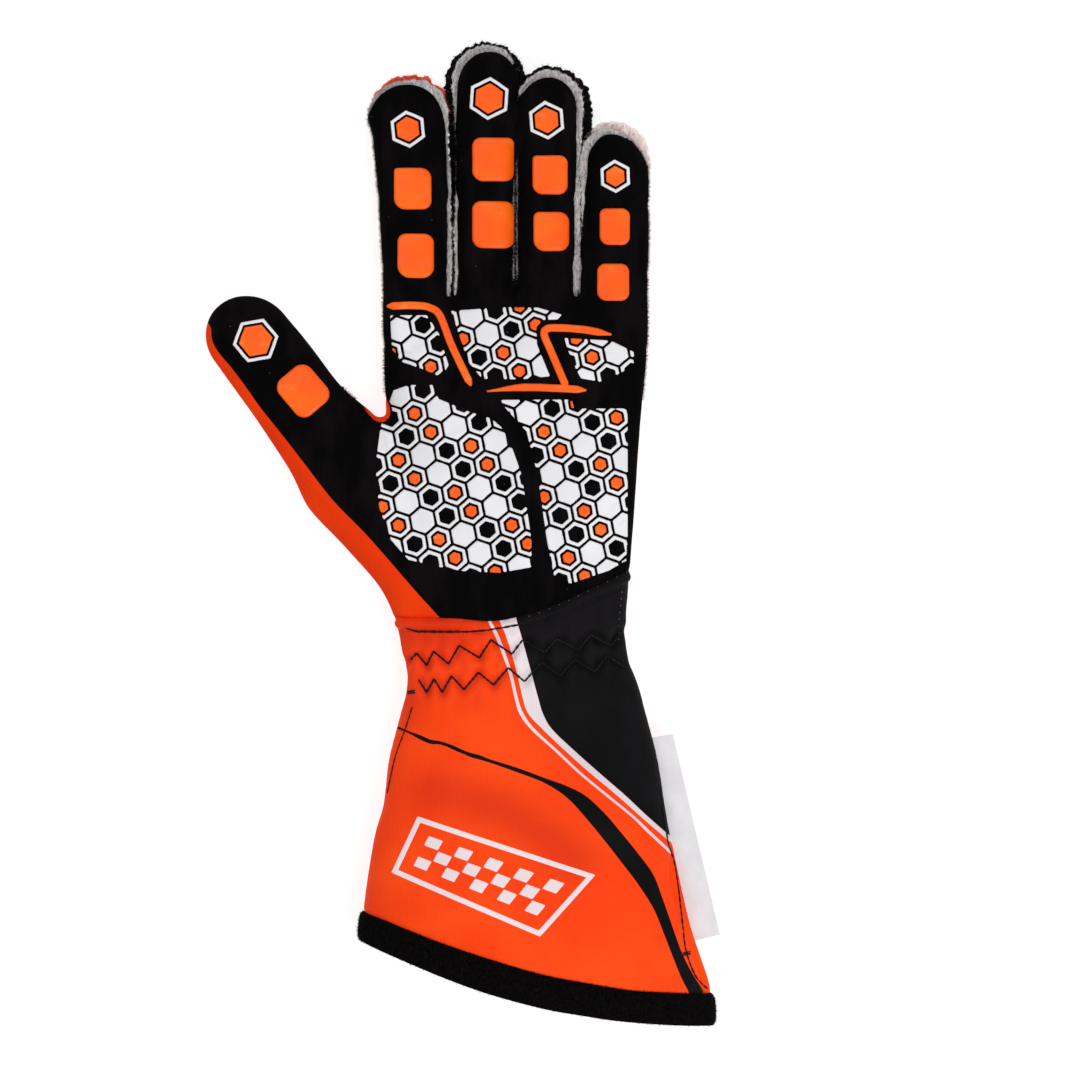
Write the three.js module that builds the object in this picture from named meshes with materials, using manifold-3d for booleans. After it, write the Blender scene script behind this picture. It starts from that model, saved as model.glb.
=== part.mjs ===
// A left-hand driving glove lying palm up: hollow suede and cloth shell, long gauntlet, raised grip pads and prints.
// Millimetres. +X runs from the thumb side to the little-finger side, +Y from the cuff to the fingertips, +Z out of
// the palm. The back of the hand lies on z = 0.

import * as THREE from 'three';
import { mergeVertices } from 'three/addons/utils/BufferGeometryUtils.js';
import Module from 'manifold-3d';

const wasm = await Module();
wasm.setup();

// Driving dimensions
const wall = 2;
const seamGap = 0.3;
const sink = 0.4;
const seamHeight = 9;
const fourchette = { low: 5, high: 10.5, start: 80, lipThickness: 1.4 };
const crown = { palm: 2.6, back: 4 };
const bindingExtra = 0.9;
const pad = { thickness: 1.3, corner: 0.26 };
const print = { thickness: 0.5, lineWidth: 2.8 };
const label = { thickness: 1, height: 9.5 };
const reach = 240;
const topReach = 80;
const mouthOverrun = 10;
const tipFlatness = 0.7;

// Facets round each limb, fewer on the inside of the shell, and the steps that round off its end
const facets = { body: 28, thumb: 16, finger: 16, hollowShare: 0.75, corner: 3 };
const seamSteps = { wrist: 10, thumb: 12, hem: 9, thumbRoot: 8 };
const endAngles = [0.42, 0.8, 1.14, 1.42];

// Hand and gauntlet: width and height from the cuff's mouth up to the knuckles
const bodyRows = [
  { along: -192, left: -40, right: 94.5, top: 33 },
  { along: -172.2, left: -39.4, right: 92.3, top: 33 },
  { along: -142.6, left: -37.6, right: 83.1, top: 31 },
  { along: -113, left: -33.1, right: 76.8, top: 28 },
  { along: -83.4, left: -27.9, right: 72, top: 25 },
  { along: -68.6, left: -24.1, right: 68.3, top: 23 },
  { along: -54, left: -20.7, right: 64.2, top: 21.5 },
  { along: -40.9, left: -23.1, right: 59.8, top: 21 },
  { along: -20.5, left: -27.2, right: 61, top: 23.5 },
  { along: 12.8, left: -29.4, right: 63.5, top: 26 },
  { along: 40, left: -28.7, right: 65.4, top: 24 },
  { along: 65, left: -29.4, right: 67.7, top: 20 },
  { along: 76, left: -29.9, right: 68.2, top: 17.5 },
];
const webEnd = 87.5;

// Fingers: side edges from the knuckles to where the tip starts to round, and the sewn lip on each side
const fingerBase = 64;
const fingers = [
  {
    name: 'index',
    top: 16.5,
    tip: 166.7,
    tipShift: 0,
    lip: { left: 0.2, right: 2.2, tip: 2.6 },
    rows: [
      { along: fingerBase, left: -29.1, right: -8 },
      { along: 105.3, left: -30.2, right: -6.6 },
      { along: 142.3, left: -33.1, right: -7.2 },
      { along: 153.4, left: -35.2, right: -7.6 },
    ],
  },
  {
    name: 'middle',
    top: 17,
    tip: 178.9,
    tipShift: 0,
    lip: { left: 2.1, right: 0.4, tip: 3 },
    rows: [
      { along: fingerBase, left: -2, right: 18.4 },
      { along: 105.3, left: -1.5, right: 18.6 },
      { along: 142.3, left: -1.7, right: 18.7 },
      { along: 158, left: -2.6, right: 19 },
      { along: 165.5, left: -2.4, right: 20.6 },
    ],
  },
  {
    name: 'ring',
    top: 16.5,
    tip: 169.3,
    tipShift: 0,
    lip: { left: 0.3, right: 1.6, tip: 2.6 },
    rows: [
      { along: fingerBase, left: 20, right: 39.8 },
      { along: 105.3, left: 20, right: 40.5 },
      { along: 142.3, left: 20, right: 41.6 },
      { along: 157, left: 19.8, right: 42 },
    ],
  },
  {
    name: 'little',
    top: 15.5,
    tip: 148.6,
    tipShift: -2.2,
    lip: { left: 1.3, right: 0.2, tip: 2.6 },
    rows: [
      { along: fingerBase, left: 43.5, right: 67.3 },
      { along: 105.3, left: 44.2, right: 68.4 },
      { along: 133.5, left: 45.7, right: 68.5 },
    ],
  },
];

// Thumb: rows along its own axis, which leaves the palm at an angle
const thumb = {
  base: { x: -23.5, y: -3.9 },
  turn: THREE.MathUtils.degToRad(36.2),
  tip: 110,
  tipShift: -1.5,
  rows: [
    { along: -30, left: -20.5, right: 12, top: 19 },
    { along: -10, left: -15.4, right: 18, top: 22 },
    { along: 10, left: -16.75, right: 20, top: 23 },
    { along: 30, left: -19.25, right: 21, top: 22 },
    { along: 45, left: -16.8, right: 20.7, top: 21 },
    { along: 60, left: -16.3, right: 17, top: 20 },
    { along: 95, left: -15.3, right: 15.6, top: 19 },
  ],
};

// Seams, each a smooth curve through a few points seen from above; the thumb's root seam is on the back
const wristSeam = [
  [-60, -31], [-8.7, -30.9], [9.8, -32], [20.9, -30.2], [35.7, -25], [62.7, -12.4], [90, 1.8],
];
const thumbSeam = [
  [-112, 86], [-93.5, 75.8], [-88.9, 62.6], [-74.6, 43.1], [-52.9, 18], [-33.4, -2.6], [-24.3, -13.6],
  [-16.2, -22.1], [-8.7, -30.9],
];
const thumbRootSeam = [
  [-50, 200], [-36, 90], [-33, 58], [-29, 44], [-24, 28], [-20, 0], [-15, -22], [-10, -40],
];
const hemTop = [[-60, -131.5], [-37.6, -139.5], [11.8, -157], [47.5, -166.7], [69, -169.3], [110, -171.6]];
const hemBottom = [[-60, -141], [-37.6, -150], [-5.7, -164.8], [29.4, -175.9], [56.6, -180.3], [110, -183]];
const labelOutline = [[60, -76], [69.7, -74.9], [77.4, -73.8], [94.9, -148.1], [83.4, -150.7], [74, -150.7]];
const splitX = { indexTip: -21, middleTip: 9.3, ringTip: 30.9, littleTip: 56 };
const splitY = { indexTip: 150, littleTip: 131 };

// Raised grip pads: two on each finger, one on the thumb
const pads = [
  { name: 'grip_pad_index_tip', limb: 'index', x: -19.1, y: 128.2, width: 13.9, height: 16.3 },
  { name: 'grip_pad_index_base', limb: 'index', x: -17.8, y: 103.2, width: 13.7, height: 16.8 },
  { name: 'grip_pad_middle_tip', limb: 'middle', x: 10.3, y: 138.8, width: 14.4, height: 16.5 },
  { name: 'grip_pad_middle_base', limb: 'middle', x: 10.3, y: 114.4, width: 14.4, height: 17.5 },
  { name: 'grip_pad_ring_tip', limb: 'ring', x: 32, y: 133, width: 13.3, height: 14.8 },
  { name: 'grip_pad_ring_base', limb: 'ring', x: 32.2, y: 112.3, width: 13.5, height: 14.8 },
  { name: 'grip_pad_little_tip', limb: 'little', x: 56.1, y: 113.8, width: 11.3, height: 13.6 },
  { name: 'grip_pad_little_base', limb: 'little', x: 55.3, y: 93.4, width: 11.8, height: 13.9 },
  { name: 'grip_pad_thumb', limb: 'thumb', x: -59, y: 52.8, width: 13.2, height: 15.6, turn: 40 },
];

// Hexagon prints near the fingertips
const tipPrints = [
  { name: 'tip_print_index', limb: 'index', x: -20.5, y: 149.7, radius: 7 },
  { name: 'tip_print_middle', limb: 'middle', x: 9.5, y: 161, radius: 8 },
  { name: 'tip_print_ring', limb: 'ring', x: 30.7, y: 153, radius: 7.2 },
  { name: 'tip_print_little', limb: 'little', x: 56.1, y: 132.3, radius: 6.2 },
  { name: 'tip_print_thumb', limb: 'thumb', x: -76.6, y: 71.6, radius: 8.6, turn: 36 },
];

// Printed grip areas on the palm, and the raised lines where the palm folds
const gripAreas = [
  {
    name: 'grip_print_index_base',
    outline: [[-27, 81], [-13.5, 81], [-9, 74.2], [-5.4, 62.5], [-8, 58], [-15.4, 61.2], [-22.6, 63.7],
      [-26.4, 68.5]],
  },
  {
    name: 'grip_print_middle_base',
    outline: [[-4.6, 82.6], [16, 84], [27.6, 83.8], [36.4, 81.2], [34.8, 79.4], [29.4, 79.2], [27.6, 76.6],
      [27.4, 70.1], [32, 58.4], [21.6, 57.2], [7, 57.4], [1.8, 63.7], [-2, 74.9]],
  },
  {
    name: 'grip_print_little_base',
    outline: [[37, 72.6], [54.5, 71.6], [63, 67.4], [62.8, 62.4], [55.2, 58.1], [50.4, 56.4], [43.4, 57.6],
      [40.2, 63.7]],
  },
  {
    name: 'grip_print_palm_thumb_side',
    outline: [[-25.8, 53.2], [-20.2, 55.2], [-11.3, 55.2], [-9, 50], [2.3, 45.3], [10.3, 42.8], [15.9, 38],
      [21.6, 22], [25.2, -2], [25.2, -12], [13.5, -14.1], [-2.5, -13.3], [-20.2, -9.3], [-26.6, -2], [-31, 10],
      [-32.4, 25.2], [-30.6, 39.6]],
  },
  {
    name: 'grip_print_palm_heel_side',
    outline: [[12.8, 49.6], [40, 49.8], [41, 46.4], [60.6, 46.6], [60.6, -9.3], [53.6, -13.3], [40, -18],
      [33.8, -17], [30.8, -2], [27.4, 22], [23.3, 38], [17, 45]],
  },
];
const flexLines = [
  { name: 'flex_line_index', route: [[-27.6, 84.4], [-12.4, 84.2], [-8.6, 81.4], [-4.4, 70.1], [2.6, 55.4]] },
  { name: 'flex_line_little', route: [[54.5, 74.8], [32, 76.6], [30.6, 74.6], [37.2, 56.6]] },
  { name: 'flex_line_palm', route: [[9, 53], [21.6, 54], [37.6, 53.4], [44.4, 52.2]] },
];

const colours = {
  suede: { color: 0x0e0c0d, roughness: 0.92, metalness: 0 },
  orangeCloth: { color: 0xf43813, roughness: 0.85, metalness: 0 },
  blackCloth: { color: 0x181518, roughness: 0.9, metalness: 0 },
  greyCloth: { color: 0xa8a5a4, roughness: 0.95, metalness: 0 },
  gripOrange: { color: 0xfd601a, roughness: 0.45, metalness: 0 },
  printWhite: { color: 0xe4e3e5, roughness: 0.55, metalness: 0 },
  labelWhite: { color: 0xe6e4e6, roughness: 0.8, metalness: 0 },
};

// Solids from meshes, and back

function solidOf(geometry) {
  geometry.deleteAttribute('normal');
  geometry.deleteAttribute('uv');
  const merged = mergeVertices(geometry, 1e-4);
  return new wasm.Manifold(new wasm.Mesh({
    numProp: 3,
    vertProperties: new Float32Array(merged.attributes.position.array),
    triVerts: new Uint32Array(merged.index.array),
  }));
}

function meshOf(name, solid, look) {
  const data = solid.getMesh();
  const geometry = new THREE.BufferGeometry();
  geometry.setAttribute('position', new THREE.BufferAttribute(new Float32Array(data.vertProperties), 3));
  geometry.setIndex(new THREE.BufferAttribute(new Uint32Array(data.triVerts), 1));
  geometry.computeVertexNormals();
  const mesh = new THREE.Mesh(geometry, new THREE.MeshStandardMaterial(look));
  mesh.name = name;
  return mesh;
}

function unite(solids) {
  return solids.reduce((whole, solid) => whole.add(solid));
}

// A prism over a flat outline, from height low to height high
function prism(outline, low = -topReach, high = topReach) {
  const shape = new THREE.Shape(outline.map(([x, y]) => new THREE.Vector2(x, y)));
  const geometry = new THREE.ExtrudeGeometry(shape, { depth: high - low, bevelEnabled: false });
  geometry.translate(0, 0, low);
  return solidOf(geometry);
}

function slab(low, high) {
  return prism([[-reach, -reach], [reach, -reach], [reach, reach], [-reach, reach]], low, high);
}

function smooth(points, steps) {
  const curve = new THREE.SplineCurve(points.map(([x, y]) => new THREE.Vector2(x, y)));
  return curve.getPoints(steps).map((point) => [point.x, point.y]);
}

// A strip of even width along an open route, as an outline
function strip(route, width) {
  const sides = [[], []];
  route.forEach(([x, y], i) => {
    const before = route[Math.max(i - 1, 0)];
    const after = route[Math.min(i + 1, route.length - 1)];
    const length = Math.hypot(after[0] - before[0], after[1] - before[1]);
    const normal = [-(after[1] - before[1]) / length, (after[0] - before[0]) / length];
    sides[0].push([x + (normal[0] * width) / 2, y + (normal[1] * width) / 2]);
    sides[1].push([x - (normal[0] * width) / 2, y - (normal[1] * width) / 2]);
  });
  return [...sides[0], ...sides[1].reverse()];
}

// The glove's limbs: each a loft through flattened rounds, fuller on the palm side than on the back

function sectionRing(row, offset, count) {
  const middle = (row.left + row.right) / 2;
  const halfWidth = (row.right - row.left) / 2 + offset;
  return Array.from({ length: count }, (_, i) => {
    const angle = (2 * Math.PI * i) / count;
    const sine = Math.sin(angle);
    const power = 2 / (sine >= 0 ? crown.palm : crown.back);
    const rise = sine >= 0 ? row.top + offset - seamHeight : seamHeight + sink + offset;
    return {
      across: middle + Math.sign(Math.cos(angle)) * Math.abs(Math.cos(angle)) ** power * halfWidth,
      along: row.along,
      up: seamHeight + Math.sign(sine) * Math.abs(sine) ** power * rise * row.height,
    };
  });
}

function loft(rings, endUp) {
  const count = rings[0].length;
  const points = rings.flat();
  const ends = [rings[0], rings[rings.length - 1]];
  const centres = ends.map((ring) => ({
    across: ring.reduce((sum, point) => sum + point.across, 0) / count,
    along: ring[0].along,
    up: endUp,
  }));
  const triangles = [];
  for (let ring = 0; ring < rings.length - 1; ring += 1) {
    for (let i = 0; i < count; i += 1) {
      const next = (i + 1) % count;
      const [a, b] = [ring * count + i, ring * count + next];
      triangles.push(a, a + count, b, b, a + count, b + count);
    }
  }
  for (let i = 0; i < count; i += 1) {
    const next = (i + 1) % count;
    const last = (rings.length - 1) * count;
    triangles.push(points.length, i, next, points.length + 1, last + next, last + i);
  }
  return { points: [...points, ...centres], triangles };
}

function placed(lofted, place) {
  const geometry = new THREE.BufferGeometry();
  geometry.setAttribute('position', new THREE.Float32BufferAttribute(lofted.points.flatMap(place), 3));
  geometry.setIndex(lofted.triangles);
  return solidOf(geometry);
}

// Rows that close a limb: roundWidth narrows it to a fingertip, otherwise it only flattens, as a web does
function closingRows(last, end, offset, shift, roundWidth) {
  return endAngles.map((angle) => {
    const narrow = roundWidth ? Math.cos(angle) : 1;
    const middle = (last.left + last.right) / 2 + shift * Math.sin(angle);
    const half = ((last.right - last.left) / 2 + offset) * narrow - offset;
    return {
      along: last.along + (end + offset - last.along) * Math.sin(angle),
      left: middle - half,
      right: middle + half,
      top: last.top,
      height: Math.cos(angle) ** tipFlatness,
    };
  });
}

function limbRings(rows, end, offset, shift, roundWidth, outerCount) {
  const open = rows.map((row) => ({ ...row, height: 1 }));
  const closing = closingRows(open[open.length - 1], end, offset, shift, roundWidth);
  const count = offset < 0 ? outerCount * facets.hollowShare : outerCount;
  return [...open, ...closing].map((row) => sectionRing(row, offset, count));
}

const upright = (point) => [point.across, point.along, point.up];
const alongThumb = (point) => [
  thumb.base.x - Math.sin(thumb.turn) * point.along + Math.cos(thumb.turn) * point.across,
  thumb.base.y + Math.cos(thumb.turn) * point.along + Math.sin(thumb.turn) * point.across,
  point.up,
];

function bodyLimb(offset) {
  const [mouth, ...others] = bodyRows;
  const rows = [offset < 0 ? { ...mouth, along: mouth.along - mouthOverrun } : mouth, ...others];
  return placed(loft(limbRings(rows, webEnd, offset, 0, false, facets.body), seamHeight), upright);
}

function fingerLimb(finger, offset, lip = { left: 0, right: 0, tip: 0 }) {
  const rows = finger.rows.map((row) => ({
    ...row,
    left: row.left - lip.left,
    right: row.right + lip.right,
    top: finger.top,
  }));
  const rings = limbRings(rows, finger.tip + lip.tip, offset, finger.tipShift, true, facets.finger);
  return placed(loft(rings, seamHeight), upright);
}

function thumbLimb(offset) {
  const rings = limbRings(thumb.rows, thumb.tip, offset, thumb.tipShift, true, facets.thumb);
  return placed(loft(rings, seamHeight), alongThumb);
}

function limbNamed(name, offset) {
  const finger = fingers.find((one) => one.name === name);
  return name === 'thumb' ? thumbLimb(offset) : fingerLimb(finger, offset);
}

function glove(offset) {
  return unite([bodyLimb(offset), thumbLimb(offset), ...fingers.map((finger) => fingerLimb(finger, offset))]);
}

const aboveTable = slab(0, topReach);
const hollow = glove(-wall);
const shell = glove(0).subtract(hollow).intersect(aboveTable);

// Regions that divide the shell into its sewn pieces

function aboveSeam(curve) {
  const [first, last] = [curve[0], curve[curve.length - 1]];
  return prism([...curve, [reach, last[1]], [reach, reach], [-reach, reach], [-reach, first[1]]]);
}

function thumbSideOf(curve) {
  const [first, last] = [curve[0], curve[curve.length - 1]];
  return prism([...curve, [-reach, last[1]], [-reach, first[1]]]);
}

const wristCurve = smooth(wristSeam, seamSteps.wrist);
const thumbCurve = smooth(thumbSeam, seamSteps.thumb);
const thumbRootCurve = smooth(thumbRootSeam, seamSteps.thumbRoot);
const hemTopCurve = smooth(hemTop, seamSteps.hem);

const handRegion = aboveSeam(wristCurve);
const aboveHem = aboveSeam(hemTopCurve);
const aboveMouth = aboveSeam(smooth(hemBottom, seamSteps.hem));
const thumbSideRegion = thumbSideOf(thumbCurve);
const thumbRootRegion = thumbSideOf(thumbRootCurve);
const wristCut = prism(strip(wristCurve, seamGap));
const thumbCut = prism(strip(thumbCurve, seamGap), seamHeight - seamGap);
const thumbRootCut = prism(strip(thumbRootCurve, seamGap));
const hemCut = prism(strip(hemTopCurve, seamGap));

const fourchettes = [
  {
    name: 'fourchette_index_middle',
    between: ['index', 'middle'],
    outline: [[splitX.indexTip, fourchette.start], [splitX.middleTip, fourchette.start],
      [splitX.middleTip, reach], [-reach, reach], [-reach, splitY.indexTip], [splitX.indexTip, splitY.indexTip]],
  },
  {
    name: 'fourchette_middle_ring',
    between: ['middle', 'ring'],
    outline: [[splitX.middleTip, fourchette.start], [splitX.ringTip, fourchette.start], [splitX.ringTip, reach],
      [splitX.middleTip, reach]],
  },
  {
    name: 'fourchette_ring_little',
    between: ['ring', 'little'],
    outline: [[splitX.ringTip, fourchette.start], [splitX.littleTip, fourchette.start],
      [splitX.littleTip, splitY.littleTip], [reach, splitY.littleTip], [reach, reach], [splitX.ringTip, reach]],
  },
];
const fourchetteRegion = unite(fourchettes.map((piece) => prism(piece.outline)));
function borderCut(outline) {
  return prism(strip([...outline, outline[0], outline[1]], seamGap));
}

const frontSide = slab(seamHeight, topReach)
  .subtract(fourchetteRegion.intersect(slab(-topReach, fourchette.high)));
const backSide = slab(-topReach, seamHeight - seamGap)
  .subtract(fourchetteRegion.intersect(slab(fourchette.low - seamGap, topReach)));
const sideBand = slab(fourchette.low, fourchette.high - seamGap);
const lipBand = slab(fourchette.high - seamGap - fourchette.lipThickness, fourchette.high - seamGap);

// The sewn pieces

function fourchettePiece(piece) {
  const lips = unite(fingers
    .filter((finger) => piece.between.includes(finger.name))
    .map((finger) => fingerLimb(finger, 0, finger.lip).subtract(fingerLimb(finger, -wall))));
  return shell.intersect(sideBand)
    .add(lips.intersect(lipBand).subtract(hollow))
    .intersect(prism(piece.outline))
    .subtract(borderCut(piece.outline));
}

function beyond(y) {
  return prism([[-reach, y], [reach, y], [reach, reach], [-reach, reach]]);
}

const hand = shell.intersect(handRegion).subtract(wristCut);
const gauntlet = shell.subtract(handRegion).subtract(wristCut).intersect(aboveHem).subtract(hemCut);
const handBack = hand.intersect(backSide);
const darkBacks = ['middle', 'ring'];
const darkBackLimbs = darkBacks.map((name) => limbNamed(name, seamGap));
const darkBackRoom = unite(darkBackLimbs).intersect(beyond(fourchette.start));

const palmPanel = hand.intersect(frontSide).subtract(thumbSideRegion).subtract(thumbCut);
const thumbSideSlab = slab(seamHeight - wall, topReach);
const thumbSide = hand.intersect(thumbSideSlab).intersect(thumbSideRegion).subtract(thumbCut);
const backPanel = handBack.subtract(darkBackRoom).subtract(thumbRootRegion).subtract(thumbRootCut);
const thumbPanel = handBack.intersect(thumbRootRegion).subtract(thumbRootCut).add(thumbSide);

const binding = bodyLimb(bindingExtra).subtract(hollow).intersect(aboveTable)
  .intersect(aboveMouth).subtract(aboveHem).subtract(hemCut);

const sideLabel = prism(labelOutline, label.height - label.thickness, label.height)
  .subtract(bodyLimb(seamGap));

function paddedOutline({ x, y, width, height, turn = 0 }) {
  const corner = width * pad.corner;
  const [w, h] = [width / 2, height / 2];
  const shape = new THREE.Shape();
  shape.absarc(w - corner, h - corner, corner, 0, Math.PI / 2, false);
  shape.absarc(corner - w, h - corner, corner, Math.PI / 2, Math.PI, false);
  shape.absarc(corner - w, corner - h, corner, Math.PI, 1.5 * Math.PI, false);
  shape.absarc(w - corner, corner - h, corner, 1.5 * Math.PI, 2 * Math.PI, false);
  const angle = THREE.MathUtils.degToRad(turn);
  const centre = new THREE.Vector2();
  return shape.getPoints(facets.corner).slice(0, -1).map((point) => {
    point.rotateAround(centre, angle);
    return [point.x + x, point.y + y];
  });
}

function hexagon({ x, y, radius, turn = 0 }) {
  return Array.from({ length: 6 }, (_, i) => {
    const angle = THREE.MathUtils.degToRad(turn + 90 + 60 * i);
    return [x + radius * Math.cos(angle), y + radius * Math.sin(angle)];
  });
}

// A skin of some thickness on a limb's palm side, inside an outline
function raised(lower, upper, outline) {
  return upper.subtract(lower).intersect(prism(outline, fourchette.high + seamGap));
}

// The origin lies under the middle of the whole glove, on the surface that it rests on
const parts = new THREE.Group();
const addPiece = (name, solid, look) => parts.add(meshOf(name, solid, look));

addPiece('palm_panel', palmPanel, colours.suede);
addPiece('back_panel', backPanel, colours.orangeCloth);
addPiece('thumb_panel', thumbPanel, colours.orangeCloth);
darkBacks.forEach((name) => {
  const back = handBack.intersect(limbNamed(name, 0)).intersect(beyond(fourchette.start + seamGap));
  addPiece(`${name}_back`, back, colours.blackCloth);
});
fourchettes.forEach((piece) => addPiece(piece.name, fourchettePiece(piece), colours.greyCloth));
addPiece('gauntlet_front', gauntlet.intersect(frontSide), colours.orangeCloth);
addPiece('gauntlet_back', gauntlet.intersect(backSide), colours.orangeCloth);
addPiece('cuff_binding', binding, colours.blackCloth);
addPiece('side_label', sideLabel, colours.labelWhite);

pads.forEach((item) => {
  const [lower, upper] = [seamGap, seamGap + pad.thickness].map((offset) => limbNamed(item.limb, offset));
  addPiece(item.name, raised(lower, upper, paddedOutline(item)), colours.gripOrange);
});
tipPrints.forEach((item) => {
  const [lower, upper] = [seamGap, seamGap + print.thickness].map((offset) => limbNamed(item.limb, offset));
  addPiece(item.name, raised(lower, upper, hexagon(item)), colours.printWhite);
});

const [printUnder, printTop] = [seamGap, seamGap + print.thickness].map(glove);
gripAreas.forEach(({ name, outline }) => addPiece(name, raised(printUnder, printTop, outline), colours.printWhite));
flexLines.forEach((line) => {
  addPiece(line.name, raised(printUnder, printTop, strip(line.route, print.lineWidth)), colours.gripOrange);
});

export default parts;
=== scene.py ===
import math

import bpy
import numpy as np
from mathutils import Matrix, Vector
from mathutils.bvhtree import BVHTree


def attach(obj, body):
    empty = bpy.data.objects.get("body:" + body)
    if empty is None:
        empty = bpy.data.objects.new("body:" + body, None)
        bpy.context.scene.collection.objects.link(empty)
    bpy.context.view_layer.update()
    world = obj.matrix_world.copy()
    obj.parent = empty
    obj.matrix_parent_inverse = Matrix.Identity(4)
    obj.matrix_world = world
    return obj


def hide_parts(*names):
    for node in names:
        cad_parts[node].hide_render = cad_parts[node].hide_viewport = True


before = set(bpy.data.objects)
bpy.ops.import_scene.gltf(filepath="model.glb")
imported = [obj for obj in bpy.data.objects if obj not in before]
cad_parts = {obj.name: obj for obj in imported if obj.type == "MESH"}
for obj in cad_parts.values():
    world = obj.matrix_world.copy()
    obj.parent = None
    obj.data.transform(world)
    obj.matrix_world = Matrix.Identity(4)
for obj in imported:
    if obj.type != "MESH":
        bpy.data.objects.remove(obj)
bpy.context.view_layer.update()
mm = 0.001

# Tables are in millimetres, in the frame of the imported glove: x towards the little finger, y towards the
# fingertips, z out of the palm. Meshes are scaled to metres as they are made.


# Camera, floor and soft light

studio = {
    "aim": (28.3, -2.0), "frameWidth": 399.6, "plane": 9, "lens": 300, "sensor": 36,
    "farthest": 20, "floorSize": 14.0, "floorColour": (0.3, 0.3, 0.3), "floorRoughness": 0.9,
    "floorGlow": 0.8, "sky": 0.34,
    "lights": [  # place in metres, size, power
        ((0.6, -0.75, 0.95), 0.9, 11.8), ((-0.75, 0.35, 1.0), 1.0, 4.2), ((0.1, 0.95, 0.9), 1.0, 4.6)],
}


def makeStudio():
    scene = bpy.context.scene
    distance = studio["frameWidth"] * studio["lens"] / studio["sensor"]
    camera = bpy.data.objects.new("camera", bpy.data.cameras.new("camera"))
    camera.data.lens, camera.data.sensor_width = studio["lens"], studio["sensor"]
    camera.location = Vector((*studio["aim"], distance + studio["plane"])) * mm
    camera.data.clip_end = studio["farthest"]
    scene.collection.objects.link(camera)
    scene.camera = camera

    floorMesh = bpy.data.meshes.new("floor")
    half = studio["floorSize"] / 2
    corners = [(-half, -half, 0), (half, -half, 0), (half, half, 0), (-half, half, 0)]
    floorMesh.from_pydata(corners, [], [(0, 1, 2, 3)])
    floor = bpy.data.objects.new("floor", floorMesh)
    floorPaint = bpy.data.materials.new("floorPaint")
    floorPaint.use_nodes = True
    shader = floorPaint.node_tree.nodes["Principled BSDF"]
    shader.inputs["Base Color"].default_value = (*studio["floorColour"], 1)
    shader.inputs["Roughness"].default_value = studio["floorRoughness"]
    shader.inputs["Emission Color"].default_value = (1, 1, 1, 1)
    shader.inputs["Emission Strength"].default_value = studio["floorGlow"]
    floorMesh.materials.append(floorPaint)
    scene.collection.objects.link(floor)

    for number, (place, size, power) in enumerate(studio["lights"]):
        lamp = bpy.data.lights.new("softLight%d" % number, "AREA")
        lamp.shape, lamp.size, lamp.energy = "DISK", size, power
        light = bpy.data.objects.new(lamp.name, lamp)
        light.location = place
        light.rotation_euler = (-Vector(place)).to_track_quat("-Z", "Y").to_euler()
        scene.collection.objects.link(light)

    world = bpy.data.worlds.new("sky")
    world.use_nodes = True
    world.node_tree.nodes["Background"].inputs["Color"].default_value = (1, 1, 1, 1)
    world.node_tree.nodes["Background"].inputs["Strength"].default_value = studio["sky"]
    scene.world = world
    scene.view_settings.view_transform = "Standard"


makeStudio()
print("studio made")


# Sizes of the glove

shell = {
    "voxel": 1.0,
    "wall": 1.5, "floorClear": 0.05, "floorWall": 0.7, "smoothing": 5,
    "seamGap": 0.03, "seamHeight": 9.0,
    "fourchetteLow": 5.2, "fourchetteHigh": 10.4, "openingReach": 7,
    "rightSeam": {"rise": 9.0, "across": (25, 50), "down": (108, 128)},
    "webSeam": {"rise": 5.0, "reach": 4},
    "sideDrop": 3.6,
    "palmFullness": 2.6, "backFullness": 3.8, "tipFullness": 0.7,
    "ringSpacing": 2.0, "tipRings": 14, "webEnd": 87.5,
}
farAway = 240

bodyTable = [  # along y, left edge, right edge, height
    (-194, -40.1, 91.9, 33), (-170, -39.4, 91.6, 33), (-142.6, -37.6, 83.1, 31), (-113, -33.1, 76.8, 28),
    (-100, -29.8, 74.5, 26.6), (-83.4, -27.9, 72, 25), (-68.6, -24.1, 68.3, 23), (-54, -20.7, 64.2, 21.5),
    (-40.9, -23.1, 59.8, 21), (-20.5, -27.2, 61, 23.5), (12.8, -29.4, 63.5, 26), (40, -28.7, 65.4, 24),
    (65, -29.4, 67.7, 20), (76, -29.9, 68.2, 17.5),
]
fingerTables = {  # along y, left edge, right edge
    "index": {"top": 16.5, "tip": 166.7, "tipShift": 0.6, "rows": [
        (64, -29.1, -8), (105.3, -30.2, -6.6), (142.3, -33.1, -7.2), (153.4, -35.2, -7.6)]},
    "middle": {"top": 17, "tip": 178.9, "tipShift": 0.4, "rows": [
        (64, -2, 18.1), (105.3, -1.5, 18.2), (142.3, -1.7, 18.3), (158, -2.6, 18.8), (165.5, -2.4, 20.6)]},
    "ring": {"top": 16.5, "tip": 169.3, "tipShift": 0.4, "rows": [
        (64, 20.3, 39.8), (105.3, 20.3, 40.5), (142.3, 20.3, 41.6), (157, 20.2, 42)]},
    "little": {"top": 15.5, "tip": 148.6, "tipShift": -2.2, "rows": [
        (64, 43.5, 67.3), (105.3, 44.2, 68.4), (133.5, 45.7, 68.5)]},
}
thumbTable = {  # along the thumb, left edge, right edge, height
    "base": (-23.5, -3.9), "turn": 36.2, "tip": 111.2, "tipShift": -1.0, "rows": [
        (-30, -20.5, 12, 19), (-10, -15.4, 18, 22), (10, -16.75, 20, 23), (30, -19.25, 21, 22),
        (45, -16.8, 20.7, 21), (60, -15.9, 17.2, 20), (80, -15.2, 16.8, 19.4), (95, -15.2, 15.9, 19)]}
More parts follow.
